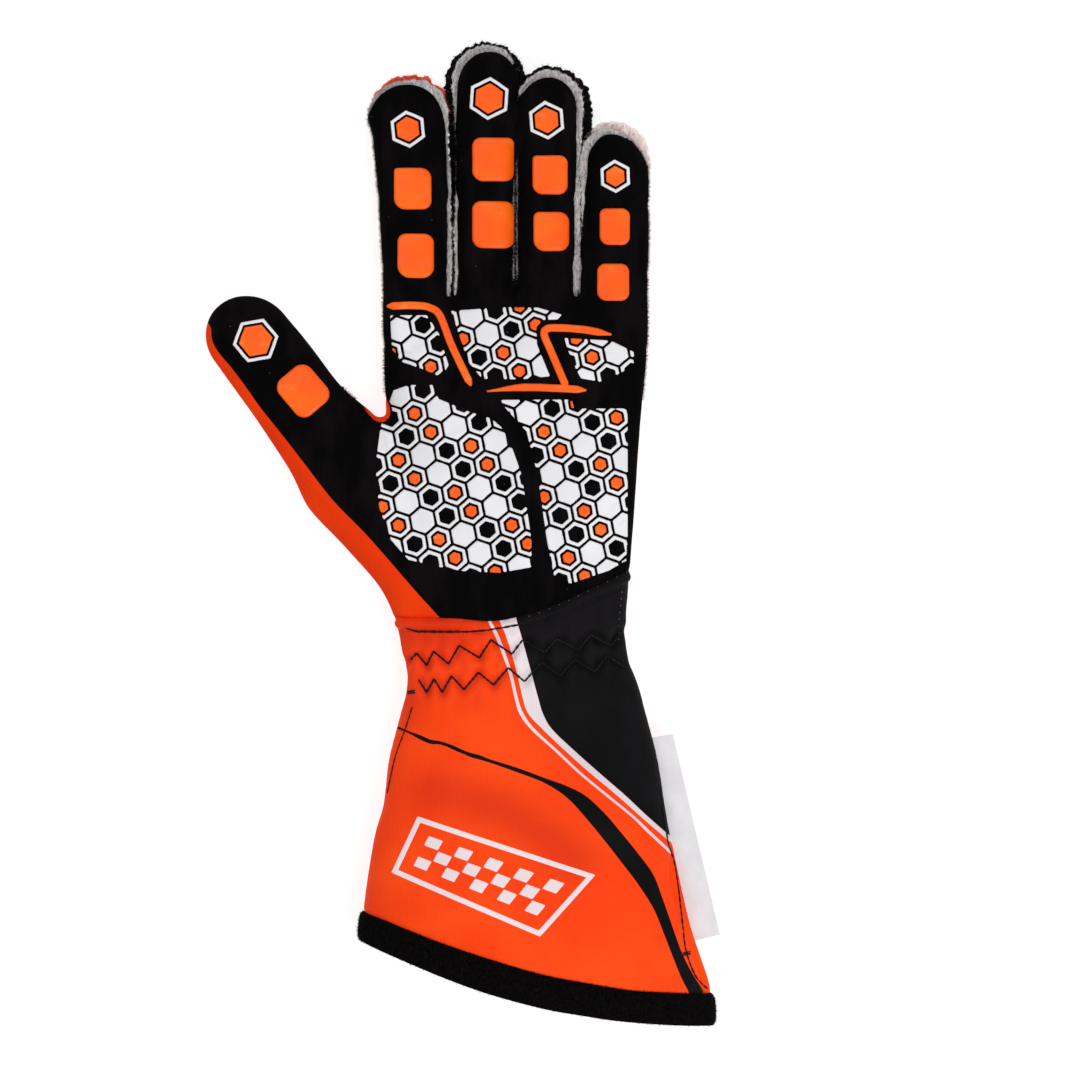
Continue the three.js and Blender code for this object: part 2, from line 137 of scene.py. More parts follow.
crotchTable = {"tip": 43.4, "rows": [(28, -35, -25, 15.5), (38.6, -34.4, -25.4, 15)]}  # web by the thumb
sideDrops = {  # across the side, from its start and to its end, each from nothing to the whole drop
    "index": ((23, 27), (44, 56), (-158, -148)),
    "palm": ((52, 58), (-66, -54), (-140, -130)),
    "thumb": ((8, 13), (42, 58), (-100, -88)),
}

seams = {  # each a smooth curve seen from above; the thumb's root seam is on the back
    "wrist": [(-60, -31), (-8.7, -30.9), (9.8, -32), (20.9, -30.2), (35.7, -25), (62.7, -12.4), (90, 1.8)],
    "thumb": [(-101, 84), (-94.3, 77.6), (-93.3, 72), (-90.9, 67.3), (-85.6, 61), (-80.3, 54), (-74.6, 46),
              (-66.6, 36), (-57.2, 24), (-47.7, 12), (-36, 0), (-24.3, -13.2), (-16.5, -22.1), (-8.7, -30.9)],
    "thumbRoot": [(-50, 200), (-36, 90), (-33, 58), (-29, 44), (-24, 28), (-20, 0), (-15, -22), (-10, -40)],
    "hemTop": [(-60, -129), (-37.6, -139), (-30, -141.8), (-10, -149.5), (11.8, -156.7), (30, -161.9),
               (47.5, -165.2), (62, -167.6), (78, -168.7), (110, -170.5)],
    "hemBottom": [(-60, -140), (-37.6, -150.3), (-20, -157.8), (-5.7, -163.6), (10, -169.1), (29.4, -174.3),
                  (44, -176.9), (58, -179), (80, -180.8), (110, -182)],
    "web": [(-34.5, 45.2), (-31, 43), (-28.6, 43.6), (-27.4, 47)],
}
fourchetteOutline = [(-21, 80), (56, 80), (56, 131), (farAway, 131), (farAway, farAway), (-farAway, farAway),
                     (-farAway, 150), (-21, 150)]
darkBackOutline = [(-4.4, 84), (42.2, 84), (42.6, 150), (49, 190), (-14, 190), (-4.9, 158)]
middleRingSplit = [(19.3, 60), (19.5, 158), (22.4, 168), (26, 190), (farAway, 190), (farAway, 60)]
fingerSplits = (9.3, 30.9)


# Curves and distances

def distanceAlong(path):
    return np.concatenate([[0], np.cumsum(np.linalg.norm(np.diff(path, axis=0), axis=1))])


def pointsAt(path, along, where):
    return np.column_stack([np.interp(where, along, path[:, k]) for k in range(path.shape[1])])


def evenPoints(path, spacing):
    along = distanceAlong(path)
    count = max(2, int(round(along[-1] / spacing)) + 1)
    return pointsAt(path, along, np.linspace(0, along[-1], count))


def smoothCurve(points, spacing=1.0):
    p = np.array(points, float)
    p = np.vstack([2 * p[0] - p[1], p, 2 * p[-1] - p[-2]])
    t = np.linspace(0, 1, 33)[:-1, None]
    runs = []
    for a, b, c, d in zip(p[:-3], p[1:-2], p[2:-1], p[3:]):
        runs.append(0.5 * (2 * b + (c - a) * t + (2 * a - 5 * b + 4 * c - d) * t ** 2
                           + (3 * b - a - 3 * c + d) * t ** 3))
    return evenPoints(np.vstack(runs + [p[-2:-1]]), spacing)


# Places measured from a centre, along axes turned to the left
def turnedTo(xy, centre, degrees):
    c, s = math.cos(math.radians(degrees)), math.sin(math.radians(degrees))
    away = xy - centre
    return np.column_stack([c * away[:, 0] + s * away[:, 1], c * away[:, 1] - s * away[:, 0]])


# Distance from each point to a polyline, and the nearest place's share of the way along it
def lineDistance(xy, line):
    line = np.asarray(line, float)
    best = np.full(len(xy), 1e9)
    share = np.zeros(len(xy))
    for i, (a, b) in enumerate(zip(line[:-1], line[1:])):
        d = b - a
        t = np.clip(((xy - a) @ d) / max(d @ d, 1e-12), 0, 1)
        far = np.hypot(xy[:, 0] - a[0] - t * d[0], xy[:, 1] - a[1] - t * d[1])
        nearer = far < best
        best = np.where(nearer, far, best)
        share = np.where(nearer, (i + t) / (len(line) - 1), share)
    return best, share


def insideOf(xy, polygon):
    x, y = xy[:, 0], xy[:, 1]
    result = np.zeros(len(xy), bool)
    for (ax, ay), (bx, by) in zip(polygon, np.roll(polygon, -1, axis=0)):
        if ay != by:
            result ^= ((ay > y) != (by > y)) & (x < (bx - ax) * (y - ay) / (by - ay) + ax)
    return result


# Signed distance to a polygon's edge, positive inside
def regionDistance(xy, polygon):
    polygon = np.array(polygon, float)
    closed = np.vstack([polygon, polygon[:1]])
    return np.where(insideOf(xy, polygon), 1, -1) * lineDistance(xy, closed)[0]


def smoothStep(x, low, high):
    t = np.clip((x - low) / (high - low), 0, 1)
    return t * t * (3 - 2 * t)


def dip(distance, width, depth):
    return -depth * np.exp(-(distance / width) ** 2)


def ridge(distance, start, end, height):
    return height * np.sin(math.pi * np.clip((distance - start) / (end - start), 0, 1))


seamCurves = {name: smoothCurve(points, 1.5) for name, points in seams.items()}


def aboveCurve(name):
    curve = seamCurves[name]
    corners = [(farAway, curve[-1, 1]), (farAway, farAway), (-farAway, farAway), (-farAway, curve[0, 1])]
    return np.vstack([curve, corners])


def thumbSideOf(name):
    curve = seamCurves[name]
    return np.vstack([curve, [(-farAway, curve[-1, 1]), (-farAway, curve[0, 1])]])


seamRegions = {
    "hand": aboveCurve("wrist"),
    "aboveHem": aboveCurve("hemTop"),
    "aboveMouth": aboveCurve("hemBottom"),
    "thumbSide": thumbSideOf("thumb"),
    "thumbRoot": thumbSideOf("thumbRoot"),
}


# The suede reaches further down along the straight sides of the index finger, the palm and the thumb
def sideDrop(xy):
    x, y = xy.T
    places = {"index": (-x, y), "palm": (x, y),
              "thumb": turnedTo(xy, thumbTable["base"], thumbTable["turn"]).T}
    sides = []
    for name, (across, along) in places.items():
        reach, start, end = sideDrops[name]
        sides.append(smoothStep(across, *reach) * smoothStep(along, *start) * smoothStep(-along, *end))
    return shell["sideDrop"] * np.maximum.reduce(sides)


# How far each point is from every seam, positive on the side that the name says
def seamFields(points):
    xy, z = points[:, :2], points[:, 2]
    right, web, middle = shell["rightSeam"], shell["webSeam"], shell["seamHeight"]
    opening = smoothStep(regionDistance(xy, fourchetteOutline), 0, shell["openingReach"])
    rise = right["rise"] * smoothStep(xy[:, 0], *right["across"]) * smoothStep(-xy[:, 1], *right["down"])
    rise = rise - dip(lineDistance(xy, seamCurves["web"])[0], web["reach"], web["rise"]) - sideDrop(xy)
    high = middle + rise + (shell["fourchetteHigh"] - middle) * opening
    low = middle + rise + (shell["fourchetteLow"] - middle) * opening
    result = {name: regionDistance(xy, region) for name, region in seamRegions.items()}
    result.update({"front": z - high, "back": low - z, "opening": opening})
    return result


# Meshes as arrays

def meshObject(name, points, faces):
    mesh = bpy.data.meshes.new(name)
    mesh.from_pydata((np.asarray(points) * mm).tolist(), [], np.asarray(faces).tolist())
    obj = bpy.data.objects.new(name, mesh)
    bpy.context.scene.collection.objects.link(obj)
    return obj


def evaluatedMesh(obj):
    return bpy.data.meshes.new_from_object(obj.evaluated_get(bpy.context.evaluated_depsgraph_get()))


def meshArrays(mesh):
    mesh.calc_loop_triangles()
    points = np.empty(len(mesh.vertices) * 3)
    mesh.vertices.foreach_get("co", points)
    triangles = np.empty(len(mesh.loop_triangles) * 3, int)
    mesh.loop_triangles.foreach_get("vertices", triangles)
    return points.reshape(-1, 3) / mm, triangles.reshape(-1, 3)


def directedEdges(triangles):
    return np.vstack([triangles[:, [0, 1]], triangles[:, [1, 2]], triangles[:, [2, 0]]])


def edgesOf(triangles):
    return np.unique(np.sort(directedEdges(triangles), axis=1), axis=0)


def vertexNormals(points, triangles):
    a, b, c = (points[triangles[:, k]] for k in range(3))
    face = np.cross(b - a, c - a)
    normals = np.zeros_like(points)
    for k in range(3):
        np.add.at(normals, triangles[:, k], face)
    return normals / np.maximum(np.linalg.norm(normals, axis=1), 1e-9)[:, None]


def neighbourMean(points, triangles, rounds, share=0.5):
    edges = edgesOf(triangles)
    count = np.maximum(np.bincount(edges.ravel(), minlength=len(points)), 1)[:, None]
    for _ in range(rounds):
        total = np.zeros_like(points)
        np.add.at(total, edges[:, 0], points[edges[:, 1]])
        np.add.at(total, edges[:, 1], points[edges[:, 0]])
        points = points + share * (total / count - points)
    return points


def dropCrumbs(data, triangles, smallest):
    label = np.arange(len(data))
    settled = False
    while not settled:
        new = label.copy()
        low = label[triangles].min(1)
        for k in range(3):
            np.minimum.at(new, triangles[:, k], low)
        new = new[new]
        settled = (new == label).all()
        label = new
    island = label[triangles[:, 0]]
    sizes = np.bincount(island, minlength=len(data))
    kept = triangles[sizes[island] >= smallest * (len(triangles) if smallest < 1 else 1)]
    used = np.unique(kept)
    renumber = np.zeros(len(data), int)
    renumber[used] = np.arange(len(used))
    return data[used], renumber[kept]


# The part of a mesh where keep is positive, cut cleanly along its zero line, onto which near corners move
def clipMesh(data, triangles, keep, smallest=0.1, snap=0.22):
    data, keep = data.copy(), keep.copy()
    a, b = edgesOf(triangles).T
    crosses = (keep[a] > 0) != (keep[b] > 0)
    a, b = a[crosses], b[crosses]
    share = keep[a] / (keep[a] - keep[b])
    crossing = data[a] + share[:, None] * (data[b] - data[a])
    for end, near in ((a, share < snap), (b, share > 1 - snap)):
        data[end[near]] = crossing[near]
        keep[end[near]] = 0
    triangles = triangles[keep[triangles].max(1) > 0]
    isIn = keep[triangles] >= 0
    count = isIn.sum(1)

    def turned(number, first):
        order = (first[:, None] + np.arange(3)) % 3
        return np.take_along_axis(triangles[count == number], order, 1).T

    o, p, q = turned(2, isIn[count == 2].argmin(1))
    i, r, s = turned(1, isIn[count == 1].argmax(1))
    inner, outer = np.concatenate([p, q, i, i]), np.concatenate([o, o, r, s])
    key, place = np.unique(inner * len(data) + outer, return_inverse=True)
    start, end = key // len(data), key % len(data)
    share = keep[start] / (keep[start] - keep[end])
    added = data[start] + share[:, None] * (data[end] - data[start])
    index = np.where(keep[start] == 0, start, len(data) + np.arange(len(key)))[place]
    pCut, qCut, rCut, sCut = np.split(index, np.cumsum([len(p), len(q), len(i)]))
    made = np.vstack([triangles[count == 3], np.column_stack([pCut, p, q]), np.column_stack([pCut, q, qCut]),
                      np.column_stack([i, rCut, sCut])])
    distinct = (made[:, 0] != made[:, 1]) & (made[:, 1] != made[:, 2]) & (made[:, 0] != made[:, 2])
    return dropCrumbs(np.vstack([data, added]), made[distinct], smallest)


# A wall between two skins of the same layout, closed round its border
def thicken(outer, inner, triangles):
    count = len(outer)
    edges = directedEdges(triangles)
    key, reverse = edges[:, 0] * count + edges[:, 1], edges[:, 1] * count + edges[:, 0]
    a, b = edges[~np.isin(reverse, key)].T
    rim = np.vstack([np.column_stack([b, a, a + count]), np.column_stack([b, a + count, b + count])])
    return np.vstack([outer, inner]), np.vstack([triangles, triangles[:, ::-1] + count, rim])


# Soft unevenness, from -1 to 1, whose bumps are about size across
def ripple(points, size, seed, waves=10):
    source = np.random.RandomState(seed)
    total = np.zeros(len(points))
    for _ in range(waves):
        direction = source.normal(size=points.shape[1])
        direction /= np.linalg.norm(direction)
        length = size * source.uniform(0.7, 1.6)
        total += np.sin(points @ direction * 2 * math.pi / length + source.uniform(0, 2 * math.pi))
    return total / waves


def uneven(points, heightAndSize, seed):
    height, size = heightAndSize
    return height * ripple(points, size, seed)


# Corners of a tube's side faces, ring after ring, and the corner beside each
def tubeCorners(rings, sides):
    start, side = np.arange(rings)[:, None] * sides, np.arange(sides)
    return (start + side).ravel(), (start + (side + 1) % sides).ravel()


# The glove's outer surface: limbs lofted through flattened rounds, joined and remeshed

def sectionRing(middle, halfWidth, top, height, count):
    angle = np.linspace(0, 2 * math.pi, count, endpoint=False)
    sine, cosine = np.sin(angle), np.cos(angle)
    power = np.where(sine >= 0, 2 / shell["palmFullness"], 2 / shell["backFullness"])
    seam = shell["seamHeight"]
    rise = np.where(sine >= 0, top - seam, seam) * height
    across = middle + np.sign(cosine) * np.abs(cosine) ** power * halfWidth
    return across, seam + np.sign(sine) * np.abs(sine) ** power * rise


def loftLimb(rows, end, tipShift, roundWidth, place, count=96):
    curve = smoothCurve(rows, 0.5)
    along = np.append(np.arange(rows[0][0], rows[-1][0], shell["ringSpacing"]), rows[-1][0])
    left, right, top = (np.interp(along, curve[:, 0], curve[:, k]) for k in (1, 2, 3))
    rings = []
    for y, a, b, h in zip(along, left, right, top):
        rings.append((y, *sectionRing((a + b) / 2, (b - a) / 2, h, 1, count)))
    for turn in np.linspace(0, math.pi / 2, shell["tipRings"])[1:-1]:
        narrow = math.cos(turn) if roundWidth else 1
        middle = (left[-1] + right[-1]) / 2 + tipShift * math.sin(turn)
        y = along[-1] + (end - along[-1]) * math.sin(turn)
        half = (right[-1] - left[-1]) / 2 * narrow
        rings.append((y, *sectionRing(middle, half, top[-1], math.cos(turn) ** shell["tipFullness"], count)))
    points = np.vstack([np.column_stack([x, np.full(count, y), z]) for y, x, z in rings])
    points = np.vstack([points, points[:count].mean(0), points[-count:].mean(0)])
    a, b = tubeCorners(len(rings) - 1, count)
    i, j = a[:count], b[:count]
    last, foot, head = (len(rings) - 1) * count, len(points) - 2, len(points) - 1
    faces = [np.column_stack([a, a + count, b + count]), np.column_stack([a, b + count, b]),
             np.column_stack([np.full(count, foot), i, j]),
             np.column_stack([np.full(count, head), last + j, last + i])]
    return place(points), np.vstack(faces)


def upright(points):
    return points


def alongThumb(points):
    xy = turnedTo(points[:, :2], (0, 0), -thumbTable["turn"]) + thumbTable["base"]
    return np.column_stack([xy, points[:, 2]])


def gloveSurface():
    limbs = [loftLimb(bodyTable, shell["webEnd"], 0, False, upright, 160)]
    for table in fingerTables.values():
        rows = [(y, a, b, table["top"]) for y, a, b in table["rows"]]
        limbs.append(loftLimb(rows, table["tip"], table["tipShift"], True, upright))
    limbs.append(loftLimb(thumbTable["rows"], thumbTable["tip"], thumbTable["tipShift"], True, alongThumb))
    limbs.append(loftLimb(crotchTable["rows"], crotchTable["tip"], 0, True, upright))
    starts = np.cumsum([0] + [len(points) for points, _ in limbs])
    obj = meshObject("limbs", np.vstack([points for points, _ in limbs]),
                     np.vstack([faces + start for (_, faces), start in zip(limbs, starts)]))
    voxels = obj.modifiers.new("voxels", "REMESH")
    voxels.mode = "VOXEL"
    voxels.voxel_size = shell["voxel"] * mm
    points, triangles = meshArrays(evaluatedMesh(obj))
    bpy.data.objects.remove(obj)
    points = neighbourMean(points, triangles, shell["smoothing"])
    points[:, 2] = np.maximum(points[:, 2], shell["floorClear"])
    return points, triangles


outerPoints, outerTriangles = gloveSurface()
outerNormals = vertexNormals(outerPoints, outerTriangles)
print("glove surface:", len(outerTriangles), "triangles, z", outerPoints[:, 2].min(), outerPoints[:, 2].max())


# Panels, each cut out of the surface along its seams and given its folds and its thickness

zigzags = {  # corners of the two elastic rows, seen from above
    "upper": [(-19.6, -46.3), (-17.1, -43.8), (-13.5, -48.4), (-11, -43.1), (-5.4, -47.7), (-1.5, -40.9),
              (6, -45.5), (10.2, -38.8), (18, -44.1), (21.9, -38.8), (30, -43.5), (34.5, -38.5),
              (42.5, -42.5), (47, -36.8), (54.5, -41), (58.5, -35.6)],
    "lower": [(-16.4, -53.7), (-13.5, -58.3), (-10.7, -53.3), (-7.8, -58.3), (-4.3, -52.2), (0.3, -57.2),
              (5.6, -50.8), (11.2, -55.5), (16.6, -49.1), (22.6, -54.2), (28.9, -47), (35.7, -52), (41, -46),
              (48.5, -50.6), (53, -44.6), (59.5, -49)],
}
folds = {
    "body": (0.22, 26), "fine": (0.07, 8), "gauntlet": (0.5, 34),  # height and size of unevenness
    "gauntletStretch": (1, 0.35, 1), "wristFade": 2,
    "frontStart": (8, 13), "backShare": 0.35, "wristBackShare": 0.3, "innerShare": 0.25,
    "gathers": {"middle": -47, "slope": 0.13, "reach": 13, "pitch": 6.4, "height": 0.6, "sway": (1.6, 18),
                "evenShare": 0.6, "uneven": (0.4, 9)},
    "pucker": {"width": 2.0, "depth": 0.95, "bulge": 0.6, "bulgeStart": (0.6, 3.4), "reach": 9},
    "welt": {"start": 0.2, "width": 4.2, "height": 1.0},
    "grooves": {  # width and depth of the dip along each seam
        "welt": (0.7, 0.5), "wrist": (0.9, 0.8), "thumb": (1.0, 0.55), "thumbRoot": (1.0, 0.5),
        "hem": (1.0, 0.5), "side": (1.1, 0.7)},
    "fingerCreases": {70: 0.3, 98: 0.35, 123: 0.4, 146: 0.25},
    "crease": {"width": 2.2, "bow": 1.2, "bowing": 0.35, "left": -40},
    "lip": {"places": (5, 8, 31, 36, 42, 44), "heights": (1.45, 1.3, 1.3, 0.7, 0.7, 1.2),
            "ends": (148, 148, 148, 146, 144, 124), "fade": 12, "across": (-1.6, 5)},
    "dent": {"at": (2, -92), "reach": (22, 16), "depth": 1.6},
}


# The elastic rows draw the wrist into pleats, and the cloth bulges between their stitches
def puckers(points):
    xy = points[:, :2]
    gathers, pucker = folds["gathers"], folds["pucker"]
    across = xy[:, 1] - gathers["middle"] - gathers["slope"] * xy[:, 0]
    pleats = np.sin(xy[:, 0] * 2 * math.pi / gathers["pitch"] + uneven(points, gathers["sway"], 6))
    relief = gathers["height"] * np.exp(-(across / gathers["reach"]) ** 2) * pleats
    relief *= gathers["evenShare"] + uneven(points, gathers["uneven"], 7)
    nearest = np.minimum.reduce([lineDistance(xy, corners)[0] for corners in zigzags.values()])
    relief += dip(nearest, pucker["width"], pucker["depth"])
    bulge = pucker["bulge"] * smoothStep(nearest, *pucker["bulgeStart"])
    return relief + bulge * np.exp(-(across / pucker["reach"]) ** 4)


# How far the cloth and suede stand out of the plain surface
def clothRelief(points, near):
    xy = points[:, :2]
    relief = uneven(points, folds["body"], 3) + uneven(points, folds["fine"], 4)
    below = -near["hand"]
    onGauntlet = smoothStep(below, 0, folds["wristFade"])
    onHand = 1 - onGauntlet
    front = smoothStep(points[:, 2], *folds["frontStart"])
    welt, grooves, lip, crease = (folds[key] for key in ("welt", "grooves", "lip", "crease"))
    relief += onGauntlet * uneven(points * folds["gauntletStretch"], folds["gauntlet"], 5)

    def withBack(share):
        return share + (1 - share) * front
    relief += onGauntlet * withBack(folds["backShare"]) * puckers(points)
    relief += front * (below > 0) * (ridge(below, welt["start"], welt["width"], welt["height"])
                                     + dip(below - welt["width"] - welt["start"], *grooves["welt"]))
    relief += withBack(folds["wristBackShare"]) * dip(below, *grooves["wrist"])
    relief += onHand * front * dip(near["thumbSide"], *grooves["thumb"])
    relief += onHand * (1 - front) * dip(near["thumbRoot"], *grooves["thumbRoot"])
    relief += dip(near["aboveHem"], *grooves["hem"])
    relief += dip(np.where(near["opening"] > 0.5, farAway, np.abs(near["front"])), *grooves["side"])
    height, end = (np.interp(xy[:, 0], lip["places"], lip[key]) for key in ("heights", "ends"))
    height = height * near["opening"] * smoothStep(end + lip["fade"] - xy[:, 1], 0, lip["fade"])
    relief += (near["front"] > 0) * ridge(near["front"], *lip["across"], height)
    onFingers = (near["front"] > 0) * onHand * (xy[:, 0] > crease["left"])
    for y, depth in folds["fingerCreases"].items():
        bend = xy[:, 1] - y - crease["bow"] * np.sin(xy[:, 0] * crease["bowing"])
        relief += onFingers * dip(bend, crease["width"], depth)
    dent = folds["dent"]
    away = np.hypot(*((xy - dent["at"]) / dent["reach"]).T)
    return relief + front * dip(away, 1, dent["depth"])


def panelSkin(keep):
    data, triangles = clipMesh(np.hstack([outerPoints, outerNormals]), outerTriangles, keep)
    points, normals = data[:, :3], data[:, 3:]
    relief = clothRelief(points, seamFields(points))
    outer = points + normals * relief[:, None]
    inner = points - normals * (shell["wall"] - folds["innerShare"] * relief)[:, None]
    outer[:, 2] = np.maximum(outer[:, 2], shell["floorClear"])
    inner[:, 2] = np.maximum(inner[:, 2], shell["floorClear"] + shell["wall"] * shell["floorWall"])
    return outer, inner, triangles


def bindingSkin(keep, hem):
    data, triangles = clipMesh(np.hstack([outerPoints, outerNormals]), outerTriangles, keep)
    points, normals = data[:, :3], data[:, 3:]
    near = seamFields(points)
    across = np.clip(-near["aboveHem"] / (near["aboveMouth"] - near["aboveHem"]), 0, 1)
    roundness = (1 - np.abs(2 * across - 1) ** hem["squareness"]) ** hem["softness"]
    nap = uneven(points, hem["nap"], 8) + uneven(points, hem["fineNap"], 9)
    outer = points + normals * (hem["proud"] * roundness + nap)[:, None]
    inner = points - normals * (shell["wall"] + hem["insideProud"] * roundness - hem["insideEdge"])[:, None]
    outer[:, 2] = np.maximum(outer[:, 2], shell["floorClear"])
    inner[:, 2] = np.maximum(inner[:, 2], hem["insideLevel"])
    return outer, inner, triangles


def panelKeeps():
    near = seamFields(outerPoints)
    x, xy = outerPoints[:, 0], outerPoints[:, :2]
    dark = regionDistance(xy, darkBackOutline)
    ring = regionDistance(xy, middleRingSplit)
    hand, front, back = near["hand"], near["front"], near["back"]
    side = np.minimum(-front, -back)
    first, second = fingerSplits
    fields = {
        "palm_panel": (hand, front, -near["thumbSide"]),
        "back_panel": (hand, back, -dark, -near["thumbRoot"]),
        "thumb_panel": (hand, np.maximum(np.minimum(back, near["thumbRoot"]), near["thumbSide"])),
        "middle_back": (back, dark, -ring),
        "ring_back": (back, dark, ring),
        "fourchette_index_middle": (side, first - x),
        "fourchette_middle_ring": (side, x - first, second - x),
        "fourchette_ring_little": (side, x - second),
        "gauntlet_front": (-hand, front, near["aboveHem"]),
        "gauntlet_back": (-hand, back, near["aboveHem"]),
        "cuff_binding": (-near["aboveHem"], near["aboveMouth"]),
    }
    return {name: np.minimum.reduce(parts) - shell["seamGap"] for name, parts in fields.items()}


hem = {"proud": 1.3, "insideProud": 0.7, "insideEdge": 0.3, "insideLevel": 1.6, "squareness": 3.5,
       "softness": 0.6, "nap": (0.1, 5), "fineNap": (0.06, 2.5)}
skins = {}
for panel, keep in panelKeeps().items():
    skins[panel] = bindingSkin(keep, hem) if panel == "cuff_binding" else panelSkin(keep)
    print("panel", panel, len(skins[panel][2]))


# Shader pieces shared by the materials

def feed(tree, socket, value):
    if isinstance(value, bpy.types.NodeSocket):
        tree.links.new(value, socket)
    else:
        socket.default_value = value


# A node of any tree, with its settings, and with what goes into its sockets
def addNode(tree, kind, inputs=None, **settings):
    node = tree.nodes.new(kind if kind.startswith(("Geometry", "Function")) else "ShaderNode" + kind)
    for name, value in settings.items():
        setattr(node, name, value)
    for socket, value in (inputs or {}).items():
        feed(tree, node.inputs[socket], value)
    return node


def calculate(tree, operation, *values):
    node = addNode(tree, "Math", operation=operation)
    for socket, value in zip(node.inputs, values):
        feed(tree, socket, value)
    return node.outputs[0]


def rescale(tree, value, low, high, newLow=0.0, newHigh=1.0):
    inputs = {"Value": value, "From Min": low, "From Max": high, "To Min": newLow, "To Max": newHigh}
    return addNode(tree, "MapRange", inputs, interpolation_type="SMOOTHSTEP").outputs[0]


def noise(tree, position, scale, detail=2.0, stretch=None):
    if stretch:
        position = addNode(tree, "Mapping", {"Vector": position, "Scale": stretch}).outputs["Vector"]
    return addNode(tree, "TexNoise", {"Vector": position, "Scale": scale, "Detail": detail}).outputs["Fac"]


def objectPosition(tree):
    return addNode(tree, "TexCoord").outputs["Object"]


# A regular wave along one axis of the piece, from -1 to 1
def waveAlong(tree, place, pitch):
    turns = calculate(tree, "DIVIDE", place, pitch)
    return calculate(tree, "SINE", calculate(tree, "MULTIPLY", turns, 2 * math.pi))


def newShaderGroup(name, inputs, outputs):
    tree = bpy.data.node_groups.new(name, "ShaderNodeTree")
    for label, value in inputs.items():
        socket = tree.interface.new_socket(label, in_out="INPUT", socket_type="NodeSocketFloat")
        socket.default_value = value
    for label in outputs:
        tree.interface.new_socket(label, in_out="OUTPUT", socket_type="NodeSocketFloat")
    return tree, tree.nodes.new("NodeGroupInput").outputs, tree.nodes.new("NodeGroupOutput").inputs


# Fine ribbed knit: ribs along the glove, crossed by rows of loops
def knitGroup():
    sizes = {"Rib Pitch": 0.9 * mm, "Row Pitch": 0.7 * mm, "Patch Scale": 38}
    tree, given, result = newShaderGroup("knit", sizes, ["Height", "Tone"])
    position = objectPosition(tree)
    axes = addNode(tree, "SeparateXYZ", {0: position}).outputs
    waver = calculate(tree, "MULTIPLY", noise(tree, position, 90), 1.6 * mm)
    ribs = waveAlong(tree, calculate(tree, "ADD", axes["X"], waver), given["Rib Pitch"])
    rows = waveAlong(tree, calculate(tree, "ADD", axes["Y"], waver), given["Row Pitch"])
    lumps = noise(tree, position, 1400, 1.0)
    height = calculate(tree, "MULTIPLY_ADD", ribs, 0.3, 0.35)
    height = calculate(tree, "MULTIPLY_ADD", rows, 0.14, height)
    feed(tree, result["Height"], calculate(tree, "MULTIPLY_ADD", lumps, 0.4, height))
    patches = noise(tree, position, given["Patch Scale"], 3.0)
    threads = calculate(tree, "MULTIPLY_ADD", ribs, 0.08, rescale(tree, patches, 0.36, 0.68, 0.3, 0.9))
    fluff = calculate(tree, "SUBTRACT", lumps, 0.5)
    feed(tree, result["Tone"], calculate(tree, "MULTIPLY_ADD", fluff, 0.3, threads))
    return tree


# Brushed suede: matted nap, stroked patches and a few specks of lint
def suedeGroup():
    sizes = {"Grain Scale": 1900, "Stroke Scale": 120, "Lint Scale": 260}
    tree, given, result = newShaderGroup("suede", sizes, ["Height", "Tone", "Lint"])
    position = objectPosition(tree)
    grain = noise(tree, position, given["Grain Scale"], 3.0)
    strokes = noise(tree, position, given["Stroke Scale"], 3.0, (1, 0.35, 1))
    feed(tree, result["Height"], calculate(tree, "MULTIPLY_ADD", strokes, 0.5, grain))
    nap = rescale(tree, grain, 0.35, 0.75, 0.4, 1.0)
    feed(tree, result["Tone"], calculate(tree, "MULTIPLY", rescale(tree, strokes, 0.38, 0.7), nap))
    cells = addNode(tree, "TexVoronoi", {"Vector": position, "Scale": given["Lint Scale"]}, feature="F1")
    spots = rescale(tree, cells.outputs["Distance"], 0.05, 0.09, 1.0, 0.0)
    pick = rescale(tree, noise(tree, position, 140, 1.0), 0.64, 0.68)
    feed(tree, result["Lint"], calculate(tree, "MULTIPLY", spots, pick))
    return tree


# Raw cut edge: matted fibres with dark flecks
def rawEdgeGroup():
    tree, given, result = newShaderGroup("rawEdge", {"Fibre Scale": 1500, "Fleck Scale": 700},
                                         ["Height", "Tone", "Fleck"])
    position = objectPosition(tree)
    fibres = noise(tree, position, given["Fibre Scale"], 4.0, (1, 0.4, 1))
    feed(tree, result["Height"], fibres)
    feed(tree, result["Tone"], rescale(tree, fibres, 0.3, 0.7))
    feed(tree, result["Fleck"], rescale(tree, noise(tree, position, given["Fleck Scale"], 2.0), 0.6, 0.72))
    return tree


# Cured silicone: faint orange peel, and soft streaky patches that are painted sheen on the orange grip
# silicone and wear on the white print
def siliconeGroup():
    tree, given, result = newShaderGroup("silicone", {"Peel Scale": 520, "Wear Scale": 70},
                                         ["Height", "Tone", "Wear"])
    position = objectPosition(tree)
    feed(tree, result["Height"], noise(tree, position, given["Peel Scale"], 2.0))
    broad = noise(tree, position, given["Wear Scale"], 2.0)
    feed(tree, result["Tone"], rescale(tree, broad, 0.35, 0.7))
    # streaks along one way: painted sheen where their colour is lighter (orange grip), wear where it is
    # darker (white print)
    streaks = rescale(tree, noise(tree, position, 320, 3.0, (0.3, 1, 1)), 0.55, 0.75)
    feed(tree, result["Wear"], calculate(tree, "MULTIPLY", streaks, rescale(tree, broad, 0.45, 0.65)))
    return tree


